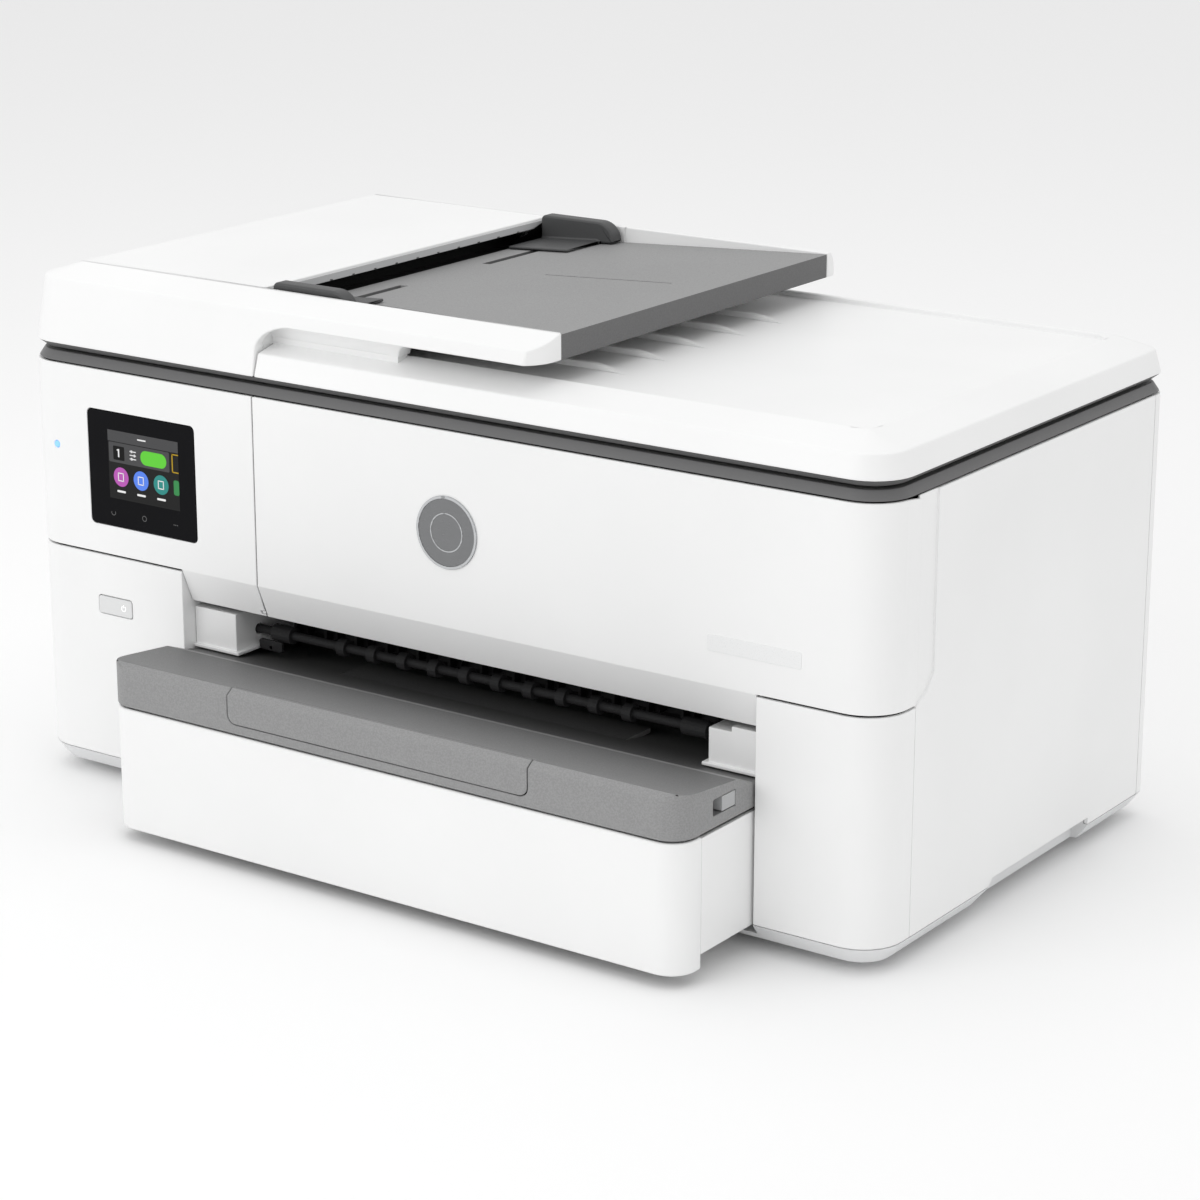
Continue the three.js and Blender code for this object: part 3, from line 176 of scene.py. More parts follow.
def sheetSteel(name, colour=(0.55, 0.56, 0.57), low=0.26, high=0.44):
    material, tree, shader = newMaterial(name, colour, (low + high) / 2, 1.0)
    brushed = objectNoise(tree, 260.0, 3.0, (1, 1, 8))
    tree.links.new(spread(tree, brushed, low, high), shader.inputs["Roughness"])
    bump(tree, shader, brushed, 0.08, 0.0001)
    return material


def polishedPanel(name, colour):
    material, tree, shader = newMaterial(name, colour, 0.12)
    smudge = objectNoise(tree, 22.0, 3.0)
    tree.links.new(spread(tree, smudge, 0.1, 0.16), shader.inputs["Roughness"])
    shader.inputs["Specular IOR Level"].default_value = 0.06
    return material


def clearGlass(name):
    material, tree, shader = newMaterial(name, (0.86, 0.93, 0.9), 0.03)
    shader.inputs["Transmission Weight"].default_value = 1.0
    shader.inputs["IOR"].default_value = 1.5
    dust = objectNoise(tree, 60.0, 2.0)
    tree.links.new(spread(tree, dust, 0.02, 0.05), shader.inputs["Roughness"])
    return material


def litPlastic(name, colour, power=0.2, roughness=0.35):
    material, tree, shader = newMaterial(name, colour, roughness)
    shader.inputs["Emission Color"].default_value = (*colour, 1.0)
    shader.inputs["Emission Strength"].default_value = power
    shader.inputs["Specular IOR Level"].default_value = 0.1
    fine = objectNoise(tree, 900.0, 2.0)
    tree.links.new(spread(tree, fine, roughness - 0.03, roughness + 0.03), shader.inputs["Roughness"])
    return material


zincSteel = sheetSteel("zincSteel")
badgeSteel = sheetSteel("badgeSteel", (0.21, 0.213, 0.217), 0.26, 0.4)
panelGloss = polishedPanel("panelGloss", (0.004, 0.004, 0.005))
flatGlass = clearGlass("flatGlass")

slotMaterials = {
    "white_plastic": casingWhite,
    "pale_grey_plastic": paleGreyPlastic,
    "tray_plastic": trayGrey,
    "guide_plastic": guideGrey,
    "black_plastic": blackPlastic,
    "cyan_plastic": cyanPlastic,
    "magenta_plastic": magentaPlastic,
    "yellow_plastic": yellowPlastic,
    "dark_glass": panelGloss,
    "clear_glass": flatGlass,
    "rubber": rollerRubber,
    "steel": zincSteel,
    "circuit_board": boardGreen,
    "pad_foam": padSheet,
}

for node, obj in frame["nodes"].items():
    obj.data.materials.clear()
    obj.data.materials.append(slotMaterials[slotOf[node]])


# shapes that the pieces share

def slab(bm, low, high, corner=0.0, axis="Y", segments=5):
    low, high = Vector(low), Vector(high)
    size = high - low
    place = Matrix.Translation((low + high) / 2) @ Matrix.Diagonal((*size, 1.0))
    made = bmesh.ops.create_cube(bm, size=1.0, matrix=place)
    number = axisNumber[axis]
    if corner:
        edges = list(dict.fromkeys(e for v in made["verts"] for e in v.link_edges))
        along = [e for e in edges if abs((e.verts[0].co - e.verts[1].co)[number]) > 0.5 * size[number]]
        bmesh.ops.bevel(bm, geom=along, offset=corner, affect="EDGES", segments=segments,
                        profile=0.5, material=-1)


def rod(bm, centre, radius, depth, axis="Y", segments=40):
    quarter = math.pi / 2
    turn = {"X": Matrix.Rotation(quarter, 4, "Y"), "Y": Matrix.Rotation(quarter, 4, "X"), "Z": Matrix()}
    bmesh.ops.create_cone(bm, cap_ends=True, segments=segments, radius1=radius, radius2=radius,
                          depth=depth, matrix=Matrix.Translation(centre) @ turn[axis])


def ring(bm, centre, inner, outer, depth, axis="Y", angle=360.0, start=0.0, segments=48):
    along = Vector([1.0 if n == axisNumber[axis] else 0.0 for n in range(3)])
    across = Vector((0, 0, 1)) if axis != "Z" else Vector((1, 0, 0))
    across = Matrix.Rotation(math.radians(start), 3, along) @ across
    centre = Vector(centre)
    corners = [centre + across * r + along * a for r, a in
               ((inner, -depth / 2), (outer, -depth / 2), (outer, depth / 2), (inner, depth / 2))]
    face = bm.faces.new([bm.verts.new(c) for c in corners])
    whole = angle >= 360.0
    bmesh.ops.spin(bm, geom=[face, *face.edges, *face.verts], cent=centre, axis=along, dvec=(0, 0, 0),
                   angle=math.radians(angle), steps=segments, use_merge=whole, use_duplicate=False)
    if whole and face.is_valid:
        bmesh.ops.delete(bm, geom=[face], context="FACES_ONLY")
    bmesh.ops.remove_doubles(bm, verts=bm.verts, dist=1e-7)
    bmesh.ops.recalc_face_normals(bm, faces=bm.faces)


def turnAbout(bm, pivot, turn):
    pivot = Vector(pivot)
    matrix = Matrix.Translation(pivot) @ turn @ Matrix.Translation(-pivot)
    bmesh.ops.transform(bm, matrix=matrix, verts=bm.verts)


def addPiece(name, bm, material, body, smooth=True):
    mesh = bpy.data.meshes.new(name)
    for face in bm.faces:
        face.smooth = smooth
    bm.to_mesh(mesh)
    bm.free()
    piece = bpy.data.objects.new(name, mesh)
    bpy.context.scene.collection.objects.link(piece)
    mesh.materials.append(material)
    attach(piece, body)
    return piece


def soften(piece, width, segments=2, angle=15.0, clamp=False):
    edge = piece.modifiers.new("edge", "BEVEL")
    edge.width = width
    edge.segments = segments
    edge.limit_method = "ANGLE"
    edge.angle_limit = math.radians(angle)
    edge.use_clamp_overlap = clamp
    edge.miter_outer = "MITER_ARC"
    level = piece.modifiers.new("level", "WEIGHTED_NORMAL")
    level.mode = "FACE_AREA"
    level.keep_sharp = True


def carve(piece, cutter):
    bmesh.ops.recalc_face_normals(cutter, faces=cutter.faces)
    mesh = bpy.data.meshes.new("cutter")
    cutter.to_mesh(mesh)
    cutter.free()
    tool = bpy.data.objects.new("cutter", mesh)
    bpy.context.scene.collection.objects.link(tool)
    step = piece.modifiers.new("carve", "BOOLEAN")
    step.operation = "DIFFERENCE"
    step.solver = "EXACT"
    step.use_self = True
    step.object = tool
    shape = bpy.data.meshes.new_from_object(piece.evaluated_get(bpy.context.evaluated_depsgraph_get()))
    piece.modifiers.remove(step)
    piece.data = shape
    bpy.data.objects.remove(tool)
    for face in shape.polygons:
        face.use_smooth = True


# Softened copy of a moulded part. The second material, a darker painted shade, goes on the faces that look
# along its direction.
def moulded(node, width=0.4 * mm, cutter=None, second=None):
    bm = bmesh.new()
    bm.from_mesh(frame["nodes"][node].data)
    bmesh.ops.remove_doubles(bm, verts=bm.verts, dist=1e-6)
    bmesh.ops.dissolve_limit(bm, angle_limit=math.radians(0.5), verts=bm.verts, edges=bm.edges)
    finish = finishOf.get(node, slotMaterials[slotOf[node]])
    piece = addPiece(node + "_casing", bm, finish, bodyOf[node])
    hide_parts(node)
    if cutter:
        carve(piece, cutter)
    if second:
        piece.data.materials.append(second["material"])
        for face in piece.data.polygons:
            if face.normal.dot(Vector(second["towards"])) > second["least"]:
                face.material_index = 1
    soften(piece, width, clamp=cutter is not None)


# grooves, slots and recesses cut into the moulded parts

feederLow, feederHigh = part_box("feeder_tray")
feederDrop = 12 * mm  # the feeder tray's top falls this much towards the feeder's mouth


def feederTop(x):
    return feederHigh.z - feederDrop * (feederHigh.x - x) / (feederHigh.x - feederLow.x)


groove = {"from": -45 * mm, "to": 43 * mm, "y": 59.5 * mm, "width": 1.7 * mm, "depth": 2.4 * mm}


def feederGrooves():
    bm = bmesh.new()
    half = groove["width"] / 2
    slab(bm, (groove["from"], groove["y"] - half, feederTop(groove["from"]) - groove["depth"]),
         (groove["to"], groove["y"] + half, feederHigh.z + 2 * mm))
    tilt = math.atan2(feederDrop, feederHigh.x - feederLow.x)
    slope = Matrix.Rotation(-tilt, 4, "Y")
    turnAbout(bm, (groove["from"], groove["y"], feederTop(groove["from"])), slope)
    return bm


rearPorts = {
    "holes": [
        {"x": 100, "z": 18, "width": 13, "height": 11.5}, {"x": 122, "z": 18, "width": 16, "height": 13.5},
        {"x": 146, "z": 18, "width": 13, "height": 11.5}, {"x": 165, "z": 18, "width": 13, "height": 11.5},
    ],
    "depth": 1.6,
    "vents": 14, "ventPitch": 5.2, "ventStart": 70, "ventWidth": 2.2, "ventBottom": 40, "ventTop": 92,
    "hatch": {"left": -150, "right": 160, "bottom": 52, "top": 178},
    "hatchDepth": 0.9, "finger": 34, "fingerWidth": 30, "fingerTop": 8, "fingerBottom": 16,
    "screws": [(x, z) for x in (-262, 262) for z in (34, 150, 232)], "screwSeat": 3.9, "seatDepth": 0.6,
}


def rearCuts():
    low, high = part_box("rear_panel")
    bm = bmesh.new()
    inside, outside = high.y - rearPorts["depth"] * mm, high.y + mm
    for port in rearPorts["holes"]:
        x, z = low.x + port["x"] * mm, low.z + port["z"] * mm
        slab(bm, (x, inside, z), (x + port["width"] * mm, outside, z + port["height"] * mm), 0.6 * mm)
    for number in range(rearPorts["vents"]):
        x = high.x - (rearPorts["ventStart"] + number * rearPorts["ventPitch"]) * mm
        slab(bm, (x, inside, low.z + rearPorts["ventBottom"] * mm),
             (x + rearPorts["ventWidth"] * mm, outside, low.z + rearPorts["ventTop"] * mm), 0.9 * mm)
    x0, x1, z0, z1 = (rearPorts["hatch"][key] * mm for key in ("left", "right", "bottom", "top"))
    joint = mm
    for a, b, c, d in ((x0, x1, z0, z0 + joint), (x0, x1, z1 - joint, z1),
                       (x0, x0 + joint, z0, z1), (x1 - joint, x1, z0, z1)):
        slab(bm, (a, high.y - rearPorts["hatchDepth"] * mm, c), (b, outside, d))
    half = rearPorts["fingerWidth"] / 2 * mm
    for side in (-1, 1):
        x = side * rearPorts["finger"] * mm
        slab(bm, (x - half, inside, z1 - rearPorts["fingerBottom"] * mm),
             (x + half, outside, z1 - rearPorts["fingerTop"] * mm), 2.5 * mm)
    seat, seatDepth = rearPorts["screwSeat"] * mm, rearPorts["seatDepth"] * mm
    for x, z in rearPorts["screws"]:
        rod(bm, (x * mm, high.y, z * mm), seat, 2 * seatDepth, "Y", 28)
    return bm


def baseCuts():  # grooves under the base, and a flat recess for a plate
    low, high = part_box("base_pan")
    bm = bmesh.new()
    for x in range(-200, 201, 50):
        slab(bm, (x * mm - 1.5 * mm, low.y + 60 * mm, low.z - mm),
             (x * mm + 1.5 * mm, high.y - 60 * mm, low.z + 0.8 * mm))
    slab(bm, (-60 * mm, high.y - 52 * mm, low.z - mm), (60 * mm, high.y - 22 * mm, low.z + 0.5 * mm),
         3 * mm, "Z")
    return bm


finishOf = {
    "scanner_base": rimGrey, "lid_band": rimGrey, "tray_latch": lipGrey, "power_button": buttonWhite,
}
# painted shade on the upward faces of the output tray and extension, and on the feeder tray's +X end faces
shadedTop = {"material": trayTopPaintedShade, "towards": (0, 0, 1), "least": 0.97}
shadedEnd = {"material": endPaintedShade, "towards": (1, 0, 0), "least": 0.9}
casings = {
    "base_pan": {"width": 0.5, "cutter": baseCuts},
    "side_panel_left": {"width": 0.4}, "side_panel_right": {"width": 0.4},
    "rear_panel": {"width": 0.3, "cutter": rearCuts},
    "column_left": {"width": 0.5}, "column_right": {"width": 0.5},
    "control_panel_housing": {"width": 0.45}, "front_door": {"width": 0.45},
    "touch_display": {"width": 0.3}, "power_button": {"width": 0.35},
    "outlet_block_left": {"width": 0.5}, "outlet_block_right": {"width": 0.5},
    "drawer_front": {"width": 1.2},
    "output_tray": {"width": 0.7, "second": shadedTop},
    "output_extension": {"width": 0.5, "second": shadedTop},
    "tray_latch": {"width": 0.3}, "scanner_base": {"width": 0.4}, "lid_band": {"width": 0.3},
    "lid_wing": {"width": 0.9}, "feeder_base": {"width": 0.9}, "feeder_cover": {"width": 0.7},
    "feeder_tray": {"width": 0.25, "cutter": feederGrooves, "second": shadedEnd},
    "feeder_guide_front": {"width": 1.4}, "feeder_guide_rear": {"width": 1.4},
    "length_guide": {"width": 0.5}, "width_guide_left": {"width": 0.5}, "width_guide_right": {"width": 0.5},
    "drawer_body": {"width": 0.4}, "platen": {"width": 0.5}, "carriage": {"width": 0.8},
    "service_station": {"width": 0.8}, "power_supply": {"width": 0.8}, "scan_bar": {"width": 0.8},
    "ink_cartridge_black": {"width": 0.6}, "ink_cartridge_cyan": {"width": 0.6},
    "ink_cartridge_magenta": {"width": 0.6}, "ink_cartridge_yellow": {"width": 0.6},
    "exit_roller_shaft": {"width": 0.25}, "document_pad": {"width": 0.4},
}
for node, shape in casings.items():
    moulded(node, shape["width"] * mm, shape["cutter"]() if "cutter" in shape else None, shape.get("second"))
print("casings", len(casings))


# touch panel: screen, icons and soft keys

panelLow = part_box("touch_display")[0]
screen = {
    "left": 15.4, "bottom": 17.0, "width": 53.9, "height": 40.5,  # from the panel's lower left corner
    "icon": 5.7, "iconPitch": 15.4, "proud": 0.06,
}
iconColours = {
    "magenta": (0.4, 0.09, 0.38), "blue": (0.09, 0.2, 0.7),
    "teal": (0.03, 0.22, 0.2), "green": (0.04, 0.22, 0.07),
}


def screenPiece(name, material):
    return {"name": name, "bm": bmesh.new(), "material": material}


def onScreen(piece, x0, x1, z0, z1, layer=1, corner=0.0):
    x, z = panelLow.x + screen["left"] * mm, panelLow.z + screen["bottom"] * mm
    proud = layer * screen["proud"] * mm
    slab(piece["bm"], (x + x0 * mm, panelLow.y - proud, z + z0 * mm),
         (x + x1 * mm, panelLow.y + 0.2 * mm, z + z1 * mm), corner * mm)


def showScreen():
    wide, high = screen["width"], screen["height"]
    ground = screenPiece("screen_ground", litPlastic("screenGround", (0.012, 0.012, 0.012)))
    onScreen(ground, 0, wide, 0, high)
    bar = screenPiece("screen_bar", litPlastic("screenBar", (0.06, 0.06, 0.062)))
    onScreen(bar, 0, wide, high - 6.5, high, 2)
    onScreen(bar, 0.6, 47, high - 18.8, high - 7, 2, 0.8)
    tile = screenPiece("screen_tile", litPlastic("screenTile", (0.006, 0.006, 0.006)))
    onScreen(tile, 4, 12.5, high - 17.2, high - 9, 3, 0.5)
    pill = screenPiece("screen_pill", litPlastic("screenPill", (0.1, 0.48, 0.04), 0.3))
    onScreen(pill, 25, 44.8, high - 17.3, high - 8.8, 3, 4.1)
    marks = screenPiece("screen_marks", litPlastic("screenMarks", (0.7, 0.7, 0.7)))
    onScreen(marks, 23, 29.5, high - 3.4, high - 2.6, 3, 0.3)
    onScreen(marks, 7.7, 8.7, high - 15.4, high - 10.6, 4)
    onScreen(marks, 6.9, 7.8, high - 11.6, high - 10.9, 4)
    for row in range(3):
        z = high - 15.4 + row * 2.2
        onScreen(marks, 16.8, 21.6, z, z + 0.55, 4)
        onScreen(marks, 17.6 + (row % 2) * 2.2, 18.8 + (row % 2) * 2.2, z - 0.5, z + 1.05, 4, 0.3)
    edge = screenPiece("screen_edge", litPlastic("screenEdge", (0.42, 0.27, 0.02)))
    for x0, x1, z0, z1 in ((49, wide, high - 18.4, high - 17.8), (49, wide, high - 8, high - 7.4),
                           (49, 49.7, high - 18.4, high - 7.4)):
        onScreen(edge, x0, x1, z0, z1, 4)
    for number, (name, colour) in enumerate(iconColours.items()):
        x = 9.3 + number * screen["iconPitch"]
        icon = screenPiece("icon_" + name, litPlastic("icon" + name.capitalize(), colour))
        z = 13.4
        if x + screen["icon"] < wide:
            centre = (panelLow.x + (screen["left"] + x) * mm, panelLow.y,
                      panelLow.z + (screen["bottom"] + z) * mm)
            rod(icon["bm"], centre, screen["icon"] * mm, 4 * screen["proud"] * mm, "Y", 48)
            onScreen(marks, x - 2.2, x - 1.7, z - 2.4, z + 2.4, 6)
            onScreen(marks, x + 1.7, x + 2.2, z - 2.4, z + 2.4, 6)
            onScreen(marks, x - 2.2, x + 2.2, z + 2, z + 2.5, 6)
            onScreen(marks, x - 2.2, x + 2.2, z - 2.5, z - 2, 6)
            onScreen(marks, x - 3.2, x + 3.2, z - 9.2, z - 8, 5, 0.4)
        else:
            onScreen(icon, x - 5.7, wide, z - 4.4, z + 4.4, 2, 1.2)
        addPiece(icon["name"], icon["bm"], icon["material"], bodyOf["touch_display"], False)
    for piece in (ground, bar, tile, pill, marks, edge):
        addPiece(piece["name"], piece["bm"], piece["material"], bodyOf["touch_display"], False)


softKeys = {"rise": 8.2, "places": (17.5, 41.5, 65.5), "radius": 1.7, "line": 0.35, "thickness": 0.12}


def showSoftKeys():
    bm = bmesh.new()
    y = panelLow.y
    inner, outer = (softKeys["radius"] - softKeys["line"]) * mm, softKeys["radius"] * mm
    thickness = softKeys["thickness"] * mm
    for number, x in enumerate(softKeys["places"]):
        centre = (panelLow.x + x * mm, y, panelLow.z + softKeys["rise"] * mm)
        if number == 0:
            ring(bm, centre, inner, outer, thickness, "Y", 230, 60, 20)
        elif number == 1:
            ring(bm, centre, inner, outer, thickness)
        else:
            for step in (-1, 0, 1):
                dot = (centre[0] + step * 1.3 * mm, y, centre[2])
                rod(bm, dot, softKeys["line"] * mm, thickness, "Y", 12)
    keys = litPlastic("softKeyGrey", (0.12, 0.12, 0.12))
    addPiece("soft_key_marks", bm, keys, bodyOf["touch_display"], False)


showScreen()
showSoftKeys()


# status light, power mark, badge and name plate

def showSmallFront():
    lens = bmesh.new()
    lensAt = (cadLow.x + 25.3 * mm, frontY + 1.0 * mm, panelLow.z + 42.8 * mm)
    rod(lens, lensAt, 1.9 * mm, 1.8 * mm, "Y", 28)
    addPiece("status_light", lens, litPlastic("statusBlue", (0.2, 0.42, 1.0), 0.9), "housing")
    buttonLow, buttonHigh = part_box("power_button")
    mark = bmesh.new()
    centre = (buttonHigh.x - 8.3 * mm, buttonLow.y, (buttonLow.z + buttonHigh.z) / 2)
    ring(mark, centre, 1.35 * mm, 1.8 * mm, 0.1 * mm, "Y", 290, 35, 28)
    slab(mark, (centre[0] - 0.22 * mm, centre[1] - 0.05 * mm, centre[2] + 0.5 * mm),
         (centre[0] + 0.22 * mm, centre[1] + 0.05 * mm, centre[2] + 2.2 * mm))
    powerWhite = litPlastic("powerWhite", (0.9, 0.9, 0.9), 0.5)
    addPiece("power_mark", mark, powerWhite, "power_key", False)


badge = {"x": 20 * mm, "z": 195 * mm, "radius": 20.3 * mm, "rim": 1.6 * mm, "proud": 0.9 * mm}
namePlate = {"left": 187 * mm, "right": 243.5 * mm, "bottom": 160 * mm, "top": 169 * mm, "proud": 0.35 * mm}


def showBadge():
    bm = bmesh.new()
    centre = (badge["x"], frontY - badge["proud"] / 4, badge["z"])
    rod(bm, centre, badge["radius"] - badge["rim"] * 0.9, badge["proud"], "Y", 72)
    soften(addPiece("badge_disc", bm, badgeSteel, "door"), 0.3 * mm)
    bm = bmesh.new()
    ring(bm, (badge["x"], frontY - badge["proud"] / 3, badge["z"]), badge["radius"] - badge["rim"],
         badge["radius"], badge["proud"] * 1.3, "Y", 360, 0, 72)
    ring(bm, (badge["x"], frontY - badge["proud"] * 0.6, badge["z"]), badge["radius"] * 0.5,
         badge["radius"] * 0.54, badge["proud"] * 0.6, "Y", 360, 0, 64)
    soften(addPiece("badge_ring", bm, zincSteel, "door"), 0.2 * mm)
    bm = bmesh.new()
    slab(bm, (namePlate["left"], frontY - namePlate["proud"], namePlate["bottom"]),
         (namePlate["right"], frontY + 0.5 * mm, namePlate["top"]), 1.2 * mm)
    soften(addPiece("name_plate", bm, plateWhite, "door"), 0.15 * mm)


showSmallFront()
showBadge()
print("front panel")


# black backing strips in the joint between panel and door, and in the joint around the extension's front:
# painted shade inside the joints

seams = {"width": 0.7 * mm, "sunk": 0.9 * mm, "depth": 1.5 * mm}


def shadeSeams():
    doorLow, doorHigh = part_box("front_door")
    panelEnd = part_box("control_panel_housing")[1].x
    lipFoot = doorLow.z + 20.5 * mm
    bm = bmesh.new()
    x = panelEnd + 0.4 * mm
    slab(bm, (x - seams["width"] / 2, frontY + seams["sunk"], lipFoot),
         (x + seams["width"] / 2, frontY + seams["sunk"] + seams["depth"], doorHigh.z))
    addPiece("door_seam_shade", bm, paintedShadeBlack, "housing", False)
    low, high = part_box("output_extension")
    bm = bmesh.new()
    y0, y1 = low.y + seams["sunk"], low.y + seams["sunk"] + seams["depth"]
    z = low.z - 0.28 * mm
    slab(bm, (low.x + 5 * mm, y0, z), (high.x - 5 * mm, y1, z + 0.26 * mm))
    for x in (low.x - 0.45 * mm, high.x + 0.05 * mm):
        slab(bm, (x, y0, low.z + 5 * mm), (x + 0.4 * mm, y1, high.z - 4.5 * mm))
    addPiece("extension_seam_shade", bm, paintedShadeBlack, "tray", False)


shadeSeams()


# paper outlet: black bracket, comb, and a black backdrop behind the exit shaft as painted shade of the
# printer's inside

outlet = {
    "clear": 2 * mm, "bracketLength": 17 * mm, "bracketHole": 1.1 * mm,
    "combBack": 17 * mm, "combPitch": 21.5 * mm, "tooth": 4 * mm, "rib": 1 * mm,
}


def showOutlet():
    shaftLow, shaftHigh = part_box("exit_roller_shaft")
    shaftY, shaftZ = (shaftLow.y + shaftHigh.y) / 2, (shaftLow.z + shaftHigh.z) / 2
    blockLow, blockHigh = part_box("outlet_block_left")
    start = blockHigh.x + outlet["clear"]
    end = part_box("outlet_block_right")[0].x - outlet["clear"]
    bm = bmesh.new()
    slab(bm, (start, shaftY - 6 * mm, blockLow.z + 1.2 * mm),
         (start + outlet["bracketLength"], shaftY - 4 * mm, shaftZ - 3.6 * mm), 1.5 * mm)
    bracket = addPiece("outlet_bracket", bm, blackPlastic, "housing")
    hole = bmesh.new()
    centre = (start + outlet["bracketLength"] / 2, shaftY - 5 * mm, shaftZ - 8 * mm)
    rod(hole, centre, outlet["bracketHole"], 6 * mm, "Y", 20)
    carve(bracket, hole)
    soften(bracket, 0.3 * mm)
    bm = bmesh.new()
    y = shaftY + outlet["combBack"]
    slab(bm, (start, y + 9 * mm, shaftZ - 6 * mm), (end, y + 11 * mm, shaftZ + 8 * mm))
    count = int((end - start) / outlet["combPitch"])
    tooth, rib = outlet["tooth"], outlet["rib"]
    for number in range(count):
        x = start + (number + 0.5) * (end - start) / count
        slab(bm, (x - tooth, y + 2 * mm, shaftZ - 5 * mm), (x + tooth, y + 10 * mm, shaftZ + 6 * mm), mm, "X")
        slab(bm, (x - rib, y - 4 * mm, shaftZ - 4 * mm), (x + rib, y + 4 * mm, shaftZ + 5 * mm), mm, "X")
    comb = addPiece("outlet_comb", bm, blackPlastic, "housing")
    soften(comb, 0.3 * mm)
    bm = bmesh.new()
    # black backdrop behind the comb: painted shade
    slab(bm, (start, y + 14 * mm, shaftZ - 12 * mm), (end, y + 15 * mm, shaftZ + 14 * mm))
    addPiece("outlet_shade_backdrop", bm, paintedShadeBlack, "housing", False)


showOutlet()
print("outlet")


# feeder: notched lip on the cover, black sheets in the throat below it as painted shade, closed finger scoop
# under the front rail

lip = {"notches": 13, "notchWidth": 2.4, "height": 3.8, "depth": 1.6, "notchHeight": 1.3, "tilt": 18}
throat = {"reach": 17.2 * mm, "sheet": 0.8 * mm, "floor": 4 * mm, "drop": 5 * mm}
scoop = {"wall": 1.5 * mm, "end": 0.9 * mm, "back": 17.7 * mm, "length": 88 * mm}


def showFeeder():
    coverLow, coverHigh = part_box("feeder_cover")
    y0, y1 = coverLow.y + 4 * mm, coverHigh.y - 4 * mm
    top = coverHigh.z - 1.8 * mm
    bm = bmesh.new()
    slab(bm, (coverHigh.x - 0.5 * mm, y0, top - lip["height"] * mm),
         (coverHigh.x + lip["depth"] * mm, y1, top))
    turnAbout(bm, (coverHigh.x, 0, top), Matrix.Rotation(math.radians(-lip["tilt"]), 4, "Y"))
    strip = addPiece("cover_lip", bm, lipGrey, "cover")
    notch = bmesh.new()
    width = lip["notchWidth"] * mm / 2
    notchTop = top - (lip["height"] - lip["notchHeight"]) * mm
    for number in range(lip["notches"]):
        y = y0 + (number + 0.6) * (y1 - y0) / lip["notches"]
        slab(notch, (coverHigh.x - 3 * mm, y - width, top - 8 * mm),
             (coverHigh.x + 5 * mm, y + width, notchTop))
    carve(strip, notch)
    soften(strip, 0.2 * mm, clamp=True)
    bm = bmesh.new()
    # black sheets lining the feeder's throat: painted shade
    x, z = coverHigh.x - throat["reach"], feederLow.z + throat["floor"]
    slab(bm, (x, y0, z), (x + throat["sheet"], y1, top - throat["drop"]))
    slab(bm, (x, y0, z), (feederLow.x - 0.4 * mm, y1, z + throat["sheet"]))
    addPiece("feeder_throat_shade", bm, paintedShadeBlack, "lid", False)
    wingLow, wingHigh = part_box("lid_wing")
    x = wingLow.x - scoop["end"]
    bm = bmesh.new()  # closes the scoop at its left end and down to the lid
    slab(bm, (x - scoop["wall"], frontY + 6 * mm, wingHigh.z - 7 * mm),
         (x, frontY + 22 * mm, wingHigh.z + 9 * mm))
    slab(bm, (x - 0.3 * mm, frontY + scoop["back"], wingHigh.z - 6 * mm),
         (wingLow.x + scoop["length"], frontY + 26 * mm, wingHigh.z + 0.6 * mm))
    addPiece("scoop_end", bm, casingWhite, "lid", False)


showFeeder()
print("feeder")


# screws and sockets on the back

screws = {"radius": 3.4 * mm, "below": 0.15 * mm, "sunk": 1.2 * mm}


def addScrews(name, places, axis, body):
    bm = bmesh.new()
    cross = bmesh.new()
    for place in places:
        rod(bm, place, screws["radius"], screws["sunk"], axis, 28)
        for along in "XYZ".replace(axis, ""):
            half = Vector((0.4 * mm, 0.4 * mm, 0.4 * mm))
            half[axisNumber[along]] = 1.8 * mm
            half[axisNumber[axis]] = screws["sunk"] / 2
            middle = Vector(place)
            middle[axisNumber[axis]] += screws["sunk"] / 2
            slab(cross, middle - half, middle + half)
    piece = addPiece(name, bm, zincSteel, body)
    carve(piece, cross)
    soften(piece, 0.25 * mm)


rearLow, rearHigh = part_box("rear_panel")


def fillPorts():
    # black fill in the port holes and behind the vent slots: painted shade in the openings, with the socket
    # tongues in the same black
    bm = bmesh.new()
    y = rearHigh.y - 1.58 * mm
    for port in rearPorts["holes"]:
        x, z = rearLow.x + (port["x"] + 0.7) * mm, rearLow.z + (port["z"] + 0.7) * mm
        slab(bm, (x, y, z), (x + (port["width"] - 1.4) * mm, y + 0.5 * mm, z + (port["height"] - 1.4) * mm))
        slab(bm, (x + 2.5 * mm, y, z + 4 * mm), (x + (port["width"] - 3.9) * mm, y + 1.1 * mm, z + 6 * mm))
    for number in range(rearPorts["vents"]):
        x = rearHigh.x - (rearPorts["ventStart"] + number * rearPorts["ventPitch"]) * mm
        slab(bm, (x + 0.3 * mm, y, rearLow.z + 41 * mm), (x + 1.9 * mm, y + 0.4 * mm, rearLow.z + 91 * mm))
    addPiece("rear_sockets_and_shade", bm, paintedShadeBlack, "housing", False)


fillPorts()
rearY = rearHigh.y - screws["below"] - screws["sunk"] / 2
addScrews("rear_screws", [(x * mm, rearY, z * mm) for x, z in rearPorts["screws"]], "Y", "housing")
print("screws")


# floor, lights and camera

studio = {"floor": 6.0, "sky": 0.85, "backdrop": 1.0}


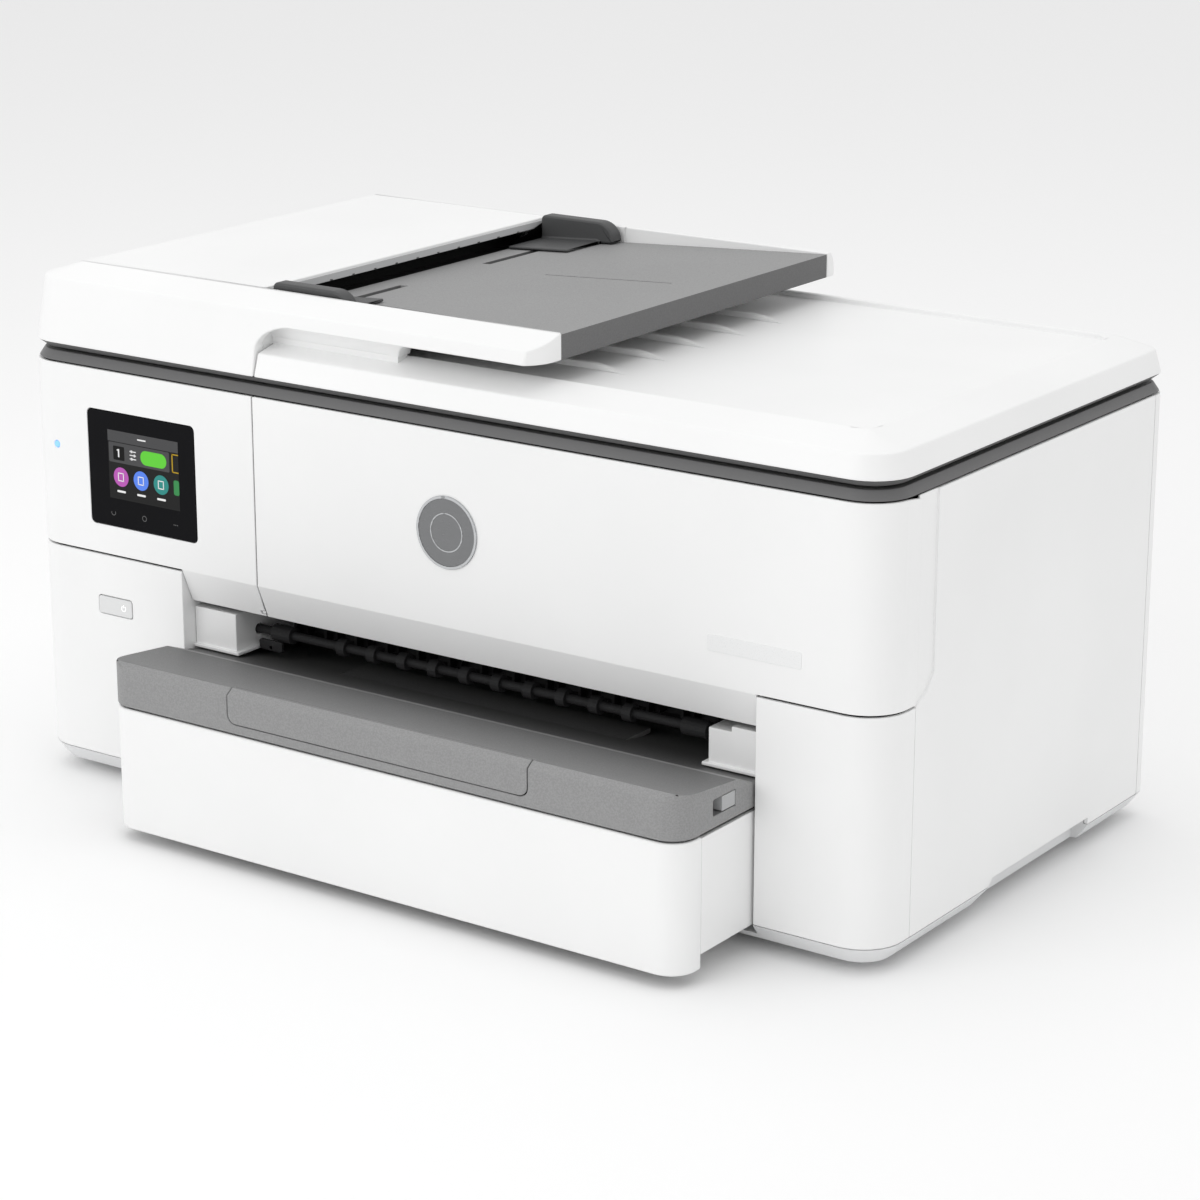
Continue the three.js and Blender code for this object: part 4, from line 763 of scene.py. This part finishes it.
def makeStudio():
    bm = bmesh.new()
    bmesh.ops.create_grid(bm, x_segments=1, y_segments=1, size=studio["floor"])
    mesh = bpy.data.meshes.new("floor")
    bm.to_mesh(mesh)
    bm.free()
    floor = bpy.data.objects.new("floor", mesh)
    bpy.context.scene.collection.objects.link(floor)
    mesh.materials.append(newMaterial("floorPaper", (0.95, 0.95, 0.95), 0.9)[0])
    world = bpy.data.worlds.new("studio")
    bpy.context.scene.world = world
    world.use_nodes = True
    tree = world.node_tree
    sky = tree.nodes["Background"]
    sky.inputs["Color"].default_value = (1.0, 1.0, 1.0, 1.0)
    sky.inputs["Strength"].default_value = studio["sky"]
    backdrop = tree.nodes.new("ShaderNodeBackground")
    backdrop.inputs["Strength"].default_value = studio["backdrop"]
    backdrop.inputs["Color"].default_value = (1.0, 1.0, 1.0, 1.0)
    path = tree.nodes.new("ShaderNodeLightPath")
    mix = tree.nodes.new("ShaderNodeMixShader")
    tree.links.new(path.outputs["Is Camera Ray"], mix.inputs["Fac"])
    tree.links.new(sky.outputs["Background"], mix.inputs[1])
    tree.links.new(backdrop.outputs["Background"], mix.inputs[2])
    tree.links.new(mix.outputs["Shader"], tree.nodes["World Output"].inputs["Surface"])


def areaLight(name, place, aim, size, power):
    data = bpy.data.lights.new(name, "AREA")
    data.shape = "RECTANGLE"
    data.size, data.size_y = size
    data.energy = power
    lamp = bpy.data.objects.new(name, data)
    bpy.context.scene.collection.objects.link(lamp)
    lamp.location = place
    lamp.rotation_mode = "QUATERNION"
    lamp.rotation_quaternion = (Vector(aim) - Vector(place)).to_track_quat("-Z", "Y")


makeStudio()
areaLight("keySoftbox", (-0.6, -1.7, 1.1), (0, 0, 0.15), (1.6, 1.2), 7.0)
areaLight("topSoftbox", (0.0, 0.2, 2.2), (0, 0, 0.2), (2.2, 1.6), 8.0)

viewpoint = {"place": (1.0668, -1.4656, 0.6772), "azimuth": 35.139, "tilt": 16.982, "lens": 99.23}


def makeCamera():
    data = bpy.data.cameras.new("camera")
    data.sensor_width = 36.0
    data.lens = viewpoint["lens"]
    data.clip_start = 0.05
    data.clip_end = 30.0
    camera = bpy.data.objects.new("camera", data)
    bpy.context.scene.collection.objects.link(camera)
    camera.location = viewpoint["place"]
    camera.rotation_euler = (math.radians(90 - viewpoint["tilt"]), 0, math.radians(viewpoint["azimuth"]))
    bpy.context.scene.camera = camera


makeCamera()
bpy.context.scene.view_settings.view_transform = "Standard"
print("studio")
